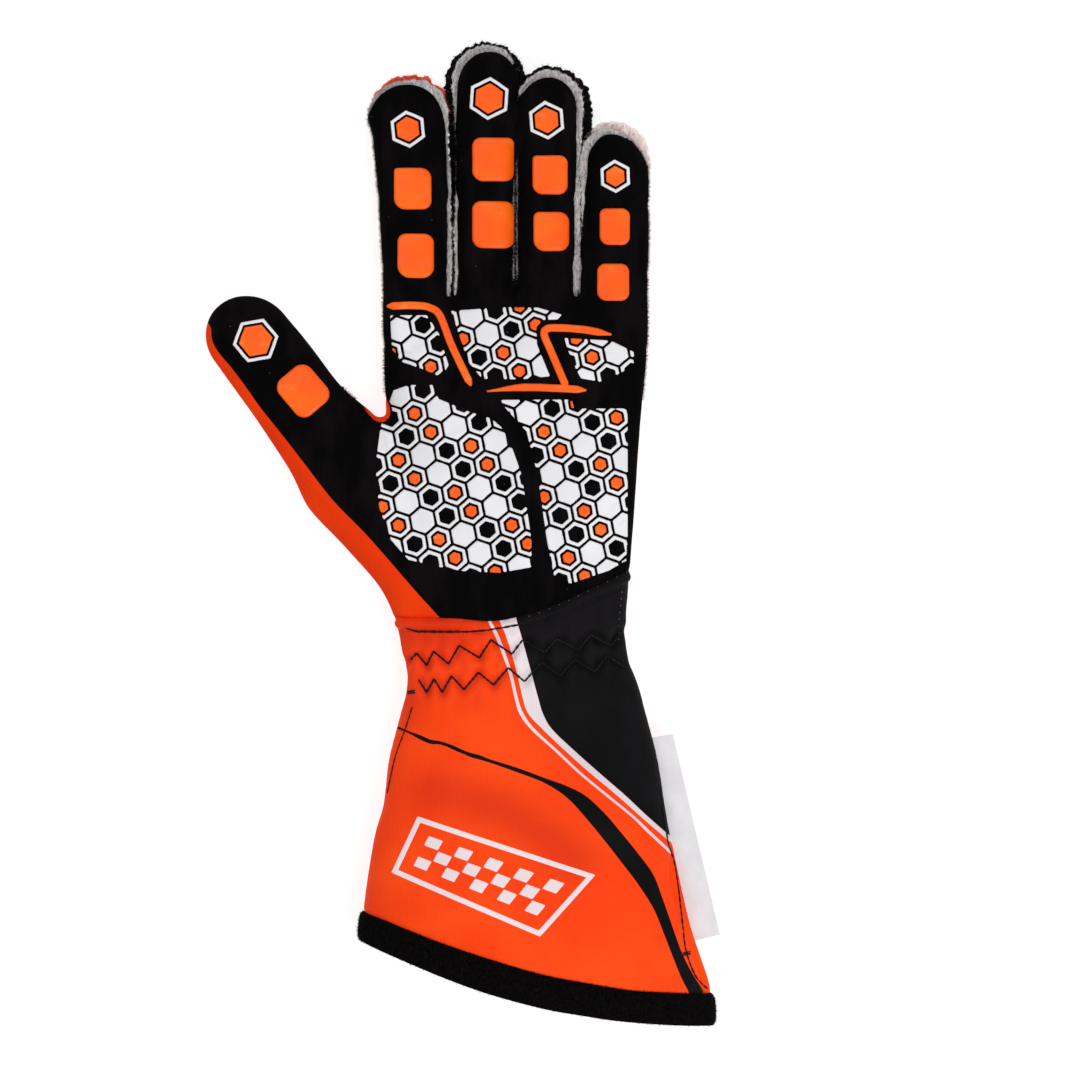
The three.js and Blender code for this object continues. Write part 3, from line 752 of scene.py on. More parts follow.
# Plain weave for tapes and labels
def weaveGroup():
    tree, given, result = newShaderGroup("plainWeave", {"Thread Pitch": 0.5 * mm}, ["Height", "Tone"])
    position = objectPosition(tree)
    axes = addNode(tree, "SeparateXYZ", {0: position}).outputs
    waves = [waveAlong(tree, axes[axis], given["Thread Pitch"]) for axis in "XY"]
    checks = calculate(tree, "MULTIPLY", *waves)
    height = calculate(tree, "MULTIPLY_ADD", checks, 0.35, 0.5)
    lumps = noise(tree, position, 900, 2.0)
    feed(tree, result["Height"], calculate(tree, "MULTIPLY_ADD", lumps, 0.3, height))
    feed(tree, result["Tone"], rescale(tree, noise(tree, position, 120, 3.0), 0.35, 0.7))
    return tree


effects = {"knit": knitGroup(), "suede": suedeGroup(), "rawEdge": rawEdgeGroup(), "silicone": siliconeGroup(),
           "weave": weaveGroup()}


def linear(*colour):
    return tuple(c / 255 / 12.92 if c < 10.3 else ((c / 255 + 0.055) / 1.055) ** 2.4 for c in colour) + (1,)


def mixColour(tree, share, first, second):
    return addNode(tree, "Mix", {0: share, 6: first, 7: second}, data_type="RGBA").outputs[2]


knitSizes = {"Rib Pitch": 0.9 * mm, "Row Pitch": 0.75 * mm, "Patch Scale": 34}
dull = (0.9, 0.04)
looks = {  # bump is its strength and its depth, surface is roughness and gloss
    "orangeCloth": {"effect": "knit", "values": knitSizes, "dark": (238, 57, 10), "light": (251, 75, 16),
                    "bump": (0.55, 0.14), "surface": dull},
    "thumbCloth": {"effect": "knit", "values": knitSizes, "dark": (218, 49, 9), "light": (236, 63, 14),
                   "bump": (0.55, 0.14), "surface": dull},
    "blackCloth": {"effect": "knit", "values": knitSizes, "dark": (16, 14, 15), "light": (30, 27, 29),
                   "bump": (0.6, 0.16), "surface": (0.8, 0.08)},
    "blackSuede": {"effect": "suede", "dark": (7, 6, 7), "light": (19, 16, 18), "Lint": (64, 61, 63),
                   "bump": (0.7, 0.22), "surface": (1.0, 0.02)},
    "greyEdge": {"effect": "rawEdge", "dark": (160, 156, 156), "light": (214, 210, 208),
                 "Fleck": (146, 142, 142), "bump": (0.9, 0.3), "surface": dull},
    "blackEdge": {"effect": "rawEdge", "dark": (7, 6, 7), "light": (28, 26, 27), "Fleck": (70, 67, 67),
                  "bump": (0.9, 0.3), "surface": dull},
    "paleEdge": {"effect": "rawEdge", "dark": (248, 230, 226), "light": (255, 244, 241),
                 "Fleck": (238, 172, 156), "bump": (0.8, 0.3), "surface": dull},
    "orangeEdge": {"effect": "rawEdge", "dark": (226, 66, 34), "light": (245, 118, 84),
                   "Fleck": (214, 168, 152), "bump": (0.8, 0.3), "surface": dull},
    # the grip's lighter streaky mark is painted sheen; the white print's darker one is wear
    "gripSilicone": {"effect": "silicone", "dark": (250, 89, 5), "light": (252, 102, 8),
                     "Wear": (254, 128, 58), "bump": (0.14, 0.2), "surface": (0.44, 0.28)},
    "whitePrint": {"effect": "silicone", "dark": (222, 221, 224), "light": (230, 229, 232),
                   "Wear": (208, 206, 209), "bump": (0.15, 0.2), "surface": (0.6, 0.12)},
    "paleTransfer": {"effect": "knit", "values": knitSizes, "dark": (224, 206, 208),
                     "light": (234, 219, 222), "bump": (0.4, 0.12), "surface": (0.7, 0.1)},
    "plushTape": {"effect": "rawEdge", "values": {"Fibre Scale": 1900, "Fleck Scale": 900},
                  "dark": (5, 4, 4), "light": (13, 11, 11), "Fleck": (18, 16, 16), "bump": (0.8, 0.3),
                  "surface": (1.0, 0.02)},
    "whiteLabel": {"effect": "weave", "values": {"Thread Pitch": 0.5 * mm}, "dark": (213, 211, 214),
                   "light": (220, 218, 221), "bump": (0.35, 0.1), "surface": dull},
    "greyThread": {"effect": "weave", "values": {"Thread Pitch": 0.25 * mm}, "dark": (74, 71, 72),
                   "light": (106, 102, 103), "bump": (0.5, 0.05), "surface": dull},
    "blackThread": {"effect": "weave", "values": {"Thread Pitch": 0.25 * mm}, "dark": (9, 8, 8),
                    "light": (24, 22, 22), "bump": (0.5, 0.05), "surface": (0.6, 0.15)},
}
stripes = {  # left and right edges of what is printed on the gauntlet, from the wrist seam down
    "blackLeft": [(17.4, -20), (19.6, -31), (21.6, -38), (24.9, -50.1), (27.6, -60.1), (29.4, -66),
                  (32.8, -71.8), (41.4, -80), (50.4, -88), (59.6, -96), (68.1, -104), (80.5, -115)],
    "wideLeft": [(10.2, -20), (13.2, -31), (16, -38), (19.6, -50.1), (21.9, -60.1), (24, -66), (29.4, -71.8),
                 (38, -80), (47, -88), (56.6, -96), (65.5, -104), (78, -114.9)],
    "thinLeft": [(5.4, -20), (8.8, -31), (12, -38), (16.5, -50.1), (18.9, -60.1), (20.7, -66), (25, -71.8),
                 (34, -80), (42.6, -88), (52.2, -96), (62, -104), (68.1, -110), (77, -118.4)],
    "thinRight": [(6.8, -20), (10, -31), (13.4, -38), (17.7, -50.1), (20.1, -60.1), (22.2, -66),
                  (26.5, -71.8), (35.4, -80), (43.9, -88), (53.6, -96), (63.3, -104), (69.6, -110),
                  (79, -118.9)],
    "sweepTop": [(-24, -70.9), (-20, -72.6), (-16, -73.9), (-12, -75.6), (-9, -76), (-6, -76.9), (-3, -78),
                 (0, -79.4), (3, -80.5), (6, -81.2), (10, -82.8), (20, -85.9), (30, -89.6), (38, -92.5),
                 (45, -96.1), (52, -102.5), (58, -109.5), (64, -116.9), (70, -125.2), (73.6, -134.4),
                 (78, -147), (81, -155), (84.6, -162), (88.6, -168.6), (94, -181)],
    "sweepBottom": [(-24, -71.9), (-20, -73.4), (-16, -75.6), (-12, -77.2), (-9, -77.3), (-6, -78.2),
                    (-3, -79.6), (0, -80.8), (3, -82.1), (6, -82.9), (10, -84.1), (20, -87.6), (30, -91.5),
                    (38, -96.7), (45, -104.1), (52, -112.6), (58, -120.3), (64, -128.2), (70, -137.6),
                    (74, -147.2), (79.6, -161.5), (83.9, -170.4), (88, -181)],
}
printing = {
    "paints": {  # darkest and lightest tone
        "white": ((210, 197, 201), (230, 218, 222)), "black": ((2, 2, 3), (15, 12, 15))},
    "surface": (0.75, 0.1), "softEdge": 0.1, "puckerShade": 0.6, "shades": (0.1, 1.1),
}
paintedShadeOnOrange = {  # painted shade on the orange: round patches by the wrist and the elastic rows, along the fold above the badge, and in the pleats
    "colour": (206, 40, 15),
    "places": [((-10, -36), (26, 8), 0.8), ((-20, -60), (8, 9), 0.35), ((30, -60), (14, 20), 0.2)],
    "fold": [(-12, -94), (-4, -95.5), (13.5, -101), (30, -111), (41, -118)], "foldReach": 9.5,
    "foldStrength": 0.62, "pleatStrength": 0.8,
}


def setSurface(shader, roughness, gloss):
    shader.inputs["Roughness"].default_value = roughness
    shader.inputs["Specular IOR Level"].default_value = gloss


def makeMaterial(name):
    look = looks[name]
    material = bpy.data.materials.new(name)
    material.use_nodes = True
    tree = material.node_tree
    shader = tree.nodes["Principled BSDF"]
    setSurface(shader, *look["surface"])
    effect = addNode(tree, "Group", node_tree=effects[look["effect"]])
    for socket, value in look.get("values", {}).items():
        effect.inputs[socket].default_value = value
    strength, depth = look["bump"]
    height = effect.outputs["Height"]
    bump = addNode(tree, "Bump", {"Strength": strength, "Distance": depth * mm, "Height": height})
    feed(tree, shader.inputs["Normal"], bump.outputs["Normal"])
    colour = mixColour(tree, effect.outputs["Tone"], linear(*look["dark"]), linear(*look["light"]))
    for mark in ("Lint", "Fleck", "Wear"):
        if mark in look:
            colour = mixColour(tree, effect.outputs[mark], colour, linear(*look[mark]))
    feed(tree, shader.inputs["Base Color"], colour)
    return material, tree, shader, effect, colour


# The gauntlet's cloth: its mesh carries the distance to each stripe's edge, positive to the right or below
def makePrintedCloth():
    material, tree, shader, effect, colour = makeMaterial("orangeCloth")
    material.name = "printedCloth"
    setSurface(shader, *printing["surface"])
    tone = effect.outputs["Tone"]

    def read(name):
        return addNode(tree, "Attribute", attribute_name=name).outputs["Fac"]

    def past(name):
        return rescale(tree, read(name), -printing["softEdge"], printing["softEdge"])

    def band(first, last):
        return calculate(tree, "SUBTRACT", past(first), past(last))
    # painted shade and highlight: both paints are darker in the pucker dips and lighter on its bulges, on top
    # of the knit's tone
    shade = calculate(tree, "MULTIPLY_ADD", read("pucker"), printing["puckerShade"], tone)
    shade = rescale(tree, shade, *printing["shades"])
    # painted shade: the orange is mixed towards a darker red in the pleats, along the fold above the badge
    # and in patches by the wrist
    colour = mixColour(tree, read("deepness"), colour, linear(*paintedShadeOnOrange["colour"]))
    white = calculate(tree, "MAXIMUM", band("wideLeft", "blackLeft"), band("thinLeft", "thinRight"))
    black = calculate(tree, "MAXIMUM", past("blackLeft"), band("sweepTop", "sweepBottom"))
    for mask, paint in ((white, "white"), (black, "black")):
        dark, light = (linear(*tone) for tone in printing["paints"][paint])
        colour = mixColour(tree, mask, colour, mixColour(tree, shade, dark, light))
    feed(tree, shader.inputs["Base Color"], colour)
    return material


materials = {name: makeMaterial(name)[0] for name in looks}
materials["printedCloth"] = makePrintedCloth()
print("materials made:", len(materials))


# Finished pieces

def finishPiece(name, points, faces, material, slot, replaced=(), sharp=48):
    obj = meshObject(name, points, faces)
    obj.data.shade_smooth()
    obj.data.set_sharp_from_angle(angle=math.radians(sharp))
    obj.data.materials.append(materials[material])
    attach(obj, "root")
    if replaced:
        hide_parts(*replaced)
    return obj


def addAttribute(obj, name, values):
    obj.data.attributes.new(name, "FLOAT", "POINT").data.foreach_set("value", values.astype(np.float32))


panelPieces = {  # piece, material and slot for each panel
    "palm_panel": ("palmSuede", "blackSuede", "suede"),
    "back_panel": ("backCloth", "orangeCloth", "orange_cloth"),
    "thumb_panel": ("thumbCloth", "thumbCloth", "orange_cloth"),
    "middle_back": ("middleBackCloth", "blackCloth", "black_cloth"),
    "ring_back": ("ringBackCloth", "blackCloth", "black_cloth"),
    "fourchette_index_middle": ("indexMiddleFourchette", "blackEdge", "black_cloth"),
    "fourchette_middle_ring": ("middleRingFourchette", "blackEdge", "black_cloth"),
    "fourchette_ring_little": ("ringLittleFourchette", "blackEdge", "black_cloth"),
    "gauntlet_front": ("gauntletFront", "printedCloth", "orange_cloth"),
    "gauntlet_back": ("gauntletBack", "orangeCloth", "orange_cloth"),
    "cuff_binding": ("cuffBinding", "plushTape", "black_cloth"),
}


def makePanels():
    made = {}
    for panel, (name, material, slot) in panelPieces.items():
        outer, inner, triangles = skins[panel]
        made[panel] = finishPiece(name, *thicken(outer, inner, triangles), material, slot, (panel,))
    return made


def markStripes(obj):
    outer = skins["gauntlet_front"][0]
    xy = outer[:, :2]
    values = {}
    for name, points in stripes.items():
        curve = smoothCurve(points)
        if name.startswith("sweep"):
            beyond = [(farAway, -farAway), (-farAway, -farAway), (-farAway, curve[0, 1])]
        else:
            beyond = [(farAway, curve[-1, 1]), (farAway, 20), (curve[0, 0], 20)]
        values[name] = regionDistance(xy, np.vstack([curve, beyond]))
    # the pucker relief, stored on the mesh for painted shade in its dips and painted highlight on its bulges
    values["pucker"] = np.clip(puckers(outer), -1, 1) * smoothStep(-seamFields(outer)["hand"], 1, 5)
    # painted shade in the pleats' dips, along the fold and in round patches, stored on the mesh for the
    # shader
    shadeParts = [paintedShadeOnOrange["pleatStrength"] * np.maximum(-values["pucker"], 0)]
    fromFold = lineDistance(xy, paintedShadeOnOrange["fold"])[0]
    shadeParts.append(-dip(fromFold, paintedShadeOnOrange["foldReach"], paintedShadeOnOrange["foldStrength"]))
    for centre, reach, strength in paintedShadeOnOrange["places"]:
        shadeParts.append(strength * np.exp(-(((xy - centre) / reach) ** 2).sum(1)))
    values["deepness"] = np.maximum.reduce(shadeParts)
    for name, value in values.items():
        inside = np.zeros(len(outer)) if name in ("deepness", "pucker") else np.full(len(outer), -5.0)
        addAttribute(obj, name, np.concatenate([value, inside]))


panels = makePanels()
markStripes(panels["gauntlet_front"])
print("panels finished")


# Laying things on the palm side: a point seen from above goes down onto the cloth

class Cloth:
    def __init__(self, names):
        starts = np.cumsum([0] + [len(skins[name][0]) for name in names])
        self.points = np.vstack([skins[name][0] for name in names])
        self.triangles = np.vstack([skins[name][2] + start for name, start in zip(names, starts)])
        self.normals = vertexNormals(self.points, self.triangles)
        self.tree = BVHTree.FromPolygons(self.points.tolist(), self.triangles.tolist())

    def lay(self, xy):
        places, normals = np.zeros((len(xy), 3)), np.zeros((len(xy), 3))
        found = np.ones(len(xy), bool)
        down, above, beside = Vector((0, 0, -1)), 60, 12
        for i, (x, y) in enumerate(xy):
            hit = self.tree.ray_cast(Vector((x, y, above)), down)
            if hit[0] is None:
                hit = self.tree.find_nearest(Vector((x, y, beside)))
                found[i] = False
            places[i] = hit[0]
            normals[i] = self.normals[self.triangles[hit[2]]].mean(0)
        normals /= np.linalg.norm(normals, axis=1)[:, None]
        return places, normals, found


topCloth = Cloth(["palm_panel", "thumb_panel", "back_panel", "gauntlet_front", "gauntlet_back"])
print("top cloth:", len(topCloth.triangles))


def grid(low, high, spacing):
    rows = np.arange(low[1], high[1] + spacing, spacing * 0.866)
    columns = np.arange(low[0], high[0] + spacing, spacing)
    across, along = np.meshgrid(columns, rows)
    across = across + (np.arange(len(rows)) % 2 * spacing / 2)[:, None]
    count = len(columns)
    r, c = np.meshgrid(np.arange(len(rows) - 1), np.arange(count - 1), indexing="ij")
    corner = (r * count + c).ravel()
    odd = (r.ravel() % 2 == 1)[:, None]
    a, b = corner[:, None], corner[:, None] + 1
    up, upNext = a + count, b + count
    first = np.where(odd, np.hstack([a, b, upNext]), np.hstack([a, b, up]))
    second = np.where(odd, np.hstack([a, upNext, up]), np.hstack([b, upNext, up]))
    return np.column_stack([across.ravel(), along.ravel()]), np.vstack([first, second])


layerForm = {  # what every raised layer has unless its own form says otherwise
    "smallest": 8, "steepest": 0.55, "rim": 0.25, "sink": 0.12, "dome": 0, "domeReach": 6, "sharp": 60,
}


# A flat shape given by a field, positive inside, laid on the cloth as a raised layer with a rounded edge
def raisedLayer(name, field, low, high, form, material, slot, replaced=()):
    form = {**layerForm, **form}
    spacing = form["spacing"] * 1
    xy, triangles = grid(low, high, spacing)
    values = field(xy)
    data, triangles = clipMesh(np.column_stack([xy, values]), triangles, values, form["smallest"])
    xy, depth = data[:, :2], np.maximum(data[:, 2], 0)
    places, normals, found = topCloth.lay(xy)
    onTop = found & (normals[:, 2] > form["steepest"])
    if not onTop.all():
        laid = np.hstack([places, normals, depth[:, None]])
        data, triangles = dropCrumbs(laid, triangles[onTop[triangles].all(1)], layerForm["smallest"])
        places, normals, depth = data[:, :3], data[:, 3:6], data[:, 6]
    edge = np.clip(depth / form["rounding"], 0, 1)
    height = form["height"] * (form["rim"] + (1 - form["rim"]) * np.sqrt(1 - (1 - edge) ** 2))
    height += form["dome"] * smoothStep(depth, 0, form["domeReach"])
    top, bottom = places + normals * height[:, None], places - normals * form["sink"]
    finishPiece(name, *thicken(top, bottom, triangles), material, slot, replaced, form["sharp"])


gripPads = {
    "form": {"spacing": 0.6, "height": 1.05, "rounding": 1.5, "dome": 0.3, "sharp": 75, "steepest": 0.12},
    "margin": 4, "wobble": (0.1, 9),
    "rows": [  # centre, width, length, turn, corner radii from top left clockwise
        ("index_tip", (-18.7, 127.7), 13.7, 15.4, 0, (1.3, 3.8, 3.2, 4.2)),
        ("index_base", (-17.6, 102.9), 13.3, 16.4, 0, (3, 3.6, 4.2, 4.6)),
        ("middle_tip", (10.9, 138.5), 15.2, 16.2, 0, (3.4, 2.2, 3.6, 4.2)),
        ("middle_base", (10.9, 114.4), 15.2, 17.4, 0, (3.2, 3.2, 3.6, 3.8)),
        ("ring_tip", (32, 132.8), 12.8, 14.4, 0, (1.5, 3, 3.4, 3.8)),
        ("ring_base", (32.4, 111.9), 13, 14.5, 0, (2.2, 3.6, 3.6, 4.2)),
        ("little_tip", (55.9, 113.7), 11.1, 13.5, 0, (2.4, 3, 3, 3.4)),
        ("little_base", (55.3, 93.2), 11.8, 13.8, 0, (3, 3, 3.2, 3.6)),
        ("thumb", (-59.1, 53), 15, 17.4, 40, (4.2, 4.4, 4.2, 4.2)),
    ],
}


def padField(centre, width, length, turn, corners):
    topLeft, topRight, bottomRight, bottomLeft = corners

    def field(xy):
        local = turnedTo(xy, centre, turn)
        radius = np.where(local[:, 1] > 0, np.where(local[:, 0] > 0, topRight, topLeft),
                          np.where(local[:, 0] > 0, bottomRight, bottomLeft))
        away = np.abs(local) - np.array([width, length]) / 2 + radius[:, None]
        outside = np.hypot(*np.maximum(away, 0).T) + np.minimum(away.max(1), 0) - radius
        return -outside + uneven(xy, gripPads["wobble"], 21)
    return field


def makeGripPads():
    for place, centre, width, length, turn, corners in gripPads["rows"]:
        reach = max(width, length) / 2 + gripPads["margin"]
        low, high = np.array(centre) - reach, np.array(centre) + reach
        name = "gripPad" + place.title().replace("_", "")
        raisedLayer(name, padField(centre, width, length, turn, corners), low, high, gripPads["form"],
                    "gripSilicone", "grip_orange", ("grip_pad_" + place,))


makeGripPads()
print("grip pads finished")


# Distance from a hexagon's middle, square to its nearest side
def hexagonReach(local):
    angles = np.radians([0, 60, 120])
    return np.abs(local @ np.array([np.cos(angles), np.sin(angles)])).max(1)


tipPrints = {
    "form": {"spacing": 0.4, "height": 0.32, "rounding": 0.5},
    "line": 1.15, "space": 0.85, "wobble": (0.1, 5),
    "rows": [  # centre, radius, turn
        ("index", (-20.5, 149.7), 7, 6), ("middle", (9.5, 161), 8, -4), ("ring", (30.7, 153), 7.2, 5),
        ("little", (56.1, 132.3), 6.2, 2), ("thumb", (-76.6, 71.6), 8.6, 40)],
}


def makeTipPrints():
    line, form = tipPrints["line"], tipPrints["form"]
    core = line + tipPrints["space"]
    for number, (finger, centre, radius, turn) in enumerate(tipPrints["rows"]):
        low, high = np.array(centre) - radius - 1, np.array(centre) + radius + 1
        halfWidth = radius * math.cos(math.radians(30))

        def depth(xy):
            inside = halfWidth - hexagonReach(turnedTo(xy, centre, turn))
            return inside + uneven(xy, tipPrints["wobble"], 30 + number)

        def ring(xy):
            return np.minimum(depth(xy), line - depth(xy))
        raisedLayer("tipPrint" + finger.title(), ring, low, high, form, "whitePrint", "print_white",
                    ("tip_print_" + finger,))
        raisedLayer("tipCore" + finger.title(), lambda xy: depth(xy) - core, low, high, form,
                    "gripSilicone", "grip_orange")


makeTipPrints()
print("tip prints finished")


flexLines = {
    "form": {"spacing": 0.5, "height": 0.7, "rounding": 1.1, "sharp": 75},
    "width": 2.8, "leastWidth": 0.3, "taperStart": -0.02, "wobble": (0.08, 6), "margin": 2.5,
    "rows": {  # route, and the share of it that tapers at its start and at its end
        "index": ([(-27.6, 84.4), (-18, 84.6), (-12.4, 83.8), (-8.6, 80.8), (-4.4, 70.1), (2.6, 55.4)],
                  0.04, 0.04),
        "little": ([(54.3, 73.9), (44, 75.7), (34, 76.3), (30.6, 75.8), (29.9, 73.6), (32.6, 67),
                    (37.8, 54.8)], 0.12, 0.02),
        "palm": ([(9, 52.8), (21.6, 54.2), (37.6, 53.8), (45, 53.2)], 0.4, 0.1)},
}


def makeFlexLines():
    least, start = flexLines["leastWidth"], flexLines["taperStart"]
    for place, (route, startTaper, endTaper) in flexLines["rows"].items():
        path = smoothCurve(route)

        def field(xy):
            distance, share = lineDistance(xy, path)
            width = np.minimum(smoothStep(share, start, startTaper), smoothStep(1 - share, start, endTaper))
            half = flexLines["width"] / 2 * (least + (1 - least) * width)
            return half - distance + uneven(xy, flexLines["wobble"], 41)
        low, high = path.min(0) - flexLines["margin"], path.max(0) + flexLines["margin"]
        raisedLayer("flexLine" + place.title(), field, low, high, flexLines["form"], "gripSilicone",
                    "grip_orange", ("flex_line_" + place,))


makeFlexLines()
print("flex lines finished")


gripPrint = {
    "form": {"spacing": 0.55, "height": 0.3, "rounding": 0.6, "smallest": 10},
    "tile": 9.1, "turn": 11, "gap": 0.95, "line": 1.2, "space": 0.9, "wobble": (0.14, 3.5),
    "zones": {
        "index_base": [(-27, 81), (-13.5, 81), (-9, 74.2), (-5.4, 62.5), (-8, 58), (-15.4, 61.2),
                       (-22.6, 63.7), (-26.4, 68.5)],
        "middle_base": [(-4.6, 82.6), (16, 84), (27.6, 83.8), (36.4, 81.2), (34.8, 79.4), (29.4, 79.2),
                        (27, 76.6), (27.2, 70.1), (32, 58.4), (21.6, 57.2), (7, 57.4), (1.8, 63.7),
                        (-2, 74.9)],
        "little_base": [(37, 72.6), (54.5, 71.6), (63, 67.4), (62.8, 62.4), (55.2, 58.1), (50.4, 56.4),
                        (43.4, 57.6), (40.2, 63.7)],
        "palm_thumb_side": [(-25.8, 53.2), (-20.2, 55.2), (-11.3, 55.2), (-9, 50), (2.3, 45.3), (10.3, 42.8),
                            (15.9, 38), (21.6, 22), (25.2, -2), (25.2, -12), (13.5, -14.1), (-2.5, -13.3),
                            (-20.2, -9.3), (-26.6, -2), (-31, 10), (-32.4, 25.2), (-30.6, 39.6)],
        "palm_heel_side": [(12.8, 49.6), (40, 49.8), (41, 46.4), (60.6, 46.6), (60.6, -9.3), (53.6, -13.3),
                           (40, -18), (33.8, -17), (30.8, -2), (27.4, 22), (23.3, 38), (17, 45)],
    },
}


# For each point, how far it is inside its hexagon tile, and which of the three kinds the tile is
def tileFields(xy):
    size = gripPrint["tile"]
    local = turnedTo(xy, (0, 0), gripPrint["turn"])
    rowStep = size * math.sqrt(3) / 2
    best, kind = np.full(len(xy), -1e9), np.zeros(len(xy), int)
    for rowShift in (0, 1):
        row = np.floor(local[:, 1] / rowStep) + rowShift
        column = np.round(local[:, 0] / size - 0.5 * (row % 2))
        centre = np.column_stack([(column + 0.5 * (row % 2)) * size, row * rowStep])
        depth = size / 2 - hexagonReach(local - centre)
        nearer = depth > best
        best = np.where(nearer, depth, best)
        kind = np.where(nearer, (column + 2 * (row % 2) + 2 * ((row // 2) % 3)).astype(int) % 3, kind)
    return best - gripPrint["gap"] / 2 + uneven(xy, gripPrint["wobble"], 51), kind


def makeGripPrint():
    line, core = gripPrint["line"], gripPrint["line"] + gripPrint["space"]
    for zone, outline in gripPrint["zones"].items():
        low, high = np.min(outline, axis=0) - 1, np.max(outline, axis=0) + 1

        def white(xy):
            depth, kind = tileFields(xy)
            ring = np.minimum(depth, line - depth)
            return np.minimum(np.where(kind == 0, depth, ring), regionDistance(xy, outline))

        def orange(xy):
            depth, kind = tileFields(xy)
            return np.minimum(np.where(kind == 2, depth - core, -1), regionDistance(xy, outline))
        name = zone.title().replace("_", "")
        raisedLayer("gripPrint" + name, white, low, high, gripPrint["form"], "whitePrint", "print_white",
                    ("grip_print_" + zone,))
        raisedLayer("gripCore" + name, orange, low, high, gripPrint["form"], "gripSilicone", "grip_orange")
        print("grip print", zone)


makeGripPrint()


cuffPrint = {  # a slanted frame round a chequered band
    "form": {"spacing": 0.45, "height": 0.1, "rounding": 0.4},
    "corners": [(-26.5, -124.5), (28.3, -147.8), (48.7, -125.2), (-16.8, -103.8)],
    "frame": 1.9, "columns": 9, "rows": 3, "across": (0.1, 0.9), "up": (0.23, 0.77), "inset": 0.2,
}


def makeCuffPrint():
    a, b, c, d = np.array(cuffPrint["corners"])

    def place(column, row):
        u = np.interp(column, (0, cuffPrint["columns"]), cuffPrint["across"])
        v = np.interp(row, (0, cuffPrint["rows"]), cuffPrint["up"])
        return (1 - v) * ((1 - u) * a + u * b) + v * ((1 - u) * d + u * c)
    checks = [[place(i, j), place(i + 1, j), place(i + 1, j + 1), place(i, j + 1)]
              for i in range(cuffPrint["columns"]) for j in range(cuffPrint["rows"]) if (i + j) % 2 == 0]

    def field(xy):
        depth = regionDistance(xy, cuffPrint["corners"])
        return np.maximum.reduce([np.minimum(depth, cuffPrint["frame"] - depth)]
                                 + [regionDistance(xy, check) - cuffPrint["inset"] for check in checks])
    raisedLayer("cuffPrint", field, np.min([a, b, c, d], axis=0) - 1, np.max([a, b, c, d], axis=0) + 1,
                cuffPrint["form"], "paleTransfer", "label_white")


makeCuffPrint()
print("cuff print finished")


# Raw seam edges that stand out round the fingers: an upper one in grey, a lower one in the back's colour

flanges = {  # rows of share of the way, width, and rise where it isn't the layer's
    "upper": {"level": 9.8, "thickness": 1.0, "ragged": 0.5, "rise": 0.5, "fingers": {
        "index": ("greyEdge", [(0.36, 0), (0.42, 1), (0.5, 1.2), (0.55, 2.8), (0.61, 2.3), (0.67, 1.4, 0.9),
                               (0.74, 2.3, 1.2), (0.82, 1.9, 1.2), (0.9, 2.5, 1.2), (1, 2.3, 1)]),
        "middle": ("greyEdge", [(0, 2.1), (0.07, 1.6), (0.14, 2.1), (0.2, 1.2), (0.28, 0.5), (0.37, 0.8),
                                (0.42, 2.5), (0.46, 2.7), (0.5, 2.2), (0.53, 1.7), (0.555, 0), (0.66, 0),
                                (0.68, 0.3, 1.7), (1, 0.3, 1.7)]),
        "ring": ("greyEdge", [(0, 0.5, 1.7), (0.3, 0.5, 1.7), (0.37, 0.7, 1.4), (0.42, 1.3), (0.5, 2.8),
                              (0.57, 2.7), (0.63, 2), (0.72, 1.7), (0.8, 2.4), (0.9, 2.9), (1, 2.2)]),
        "little": ("greyEdge", [(0, 0.9), (0.1, 1.3), (0.2, 0.7), (0.28, 1.5), (0.35, 2.6), (0.44, 2.6),
                                (0.5, 1.4), (0.54, 0)]),
    }},
    "lower": {"level": 5.6, "thickness": 0.9, "ragged": 0.8, "rise": 0.2, "fingers": {
        "index": ("orangeEdge", [(0.4, 0), (0.44, 1.9), (0.48, 3), (0.53, 3.7), (0.57, 4), (0.6, 3),
                                 (0.63, 1.2), (0.65, 0)]),
        "middle": ("blackEdge", [(0, 4.2), (0.3, 3.9), (0.36, 3.8), (0.42, 5), (0.48, 3.9), (0.53, 3),
                                 (0.58, 2.6), (0.64, 2), (0.7, 1.4), (1, 1.4)]),
        "ring": ("blackEdge", [(0.38, 0), (0.44, 3), (0.5, 4.4), (0.56, 5.2), (0.62, 5.8), (0.68, 5.4),
                               (0.74, 4.4), (0.8, 3.4), (1, 3.4)]),
        "little": ("paleEdge", [(0.34, 0), (0.4, 2.8), (0.46, 4.2), (0.52, 4.6), (0.57, 4), (0.61, 2.2),
                                (0.65, 0)]),
    }},
    "start": 84, "spacing": 0.45, "embed": 0.9, "taper": (0.5, 9), "floorClear": 0.3,
    "lumps": (0.16, 2.3), "sway": (0.45, 14), "raggedLengths": (3.4, 1.8, 1.2), "leastWidth": 0.15,
    "shortestRun": 4,
    "profile": [(0.0, 0.5), (0.5, 0.5), (0.92, 0.36), (1.0, 0), (0.92, -0.36), (0.5, -0.5)],  # out and up
}


edgeSlots = {"greyEdge": "grey_cloth", "blackEdge": "black_cloth", "paleEdge": "orange_cloth",
             "orangeEdge": "orange_cloth"}


# From the crotch on the left, round the tip, down to the crotch on the right
def fingerOutline(finger):
    table = fingerTables[finger]
    curve = smoothCurve(table["rows"], 0.5)
    curve = curve[curve[:, 0] >= flanges["start"]]
    y, left, right = curve.T
    turn = np.linspace(0, math.pi, 40)[1:-1]
    middle, half = (left[-1] + right[-1]) / 2, (right[-1] - left[-1]) / 2
    tip = np.column_stack([middle + table["tipShift"] * np.sin(turn) - half * np.cos(turn),
                           y[-1] + (table["tip"] - y[-1]) * np.sin(turn)])
    path = np.vstack([np.column_stack([left, y]), tip, np.column_stack([right, y])[::-1]])
    return evenPoints(path, flanges["spacing"])


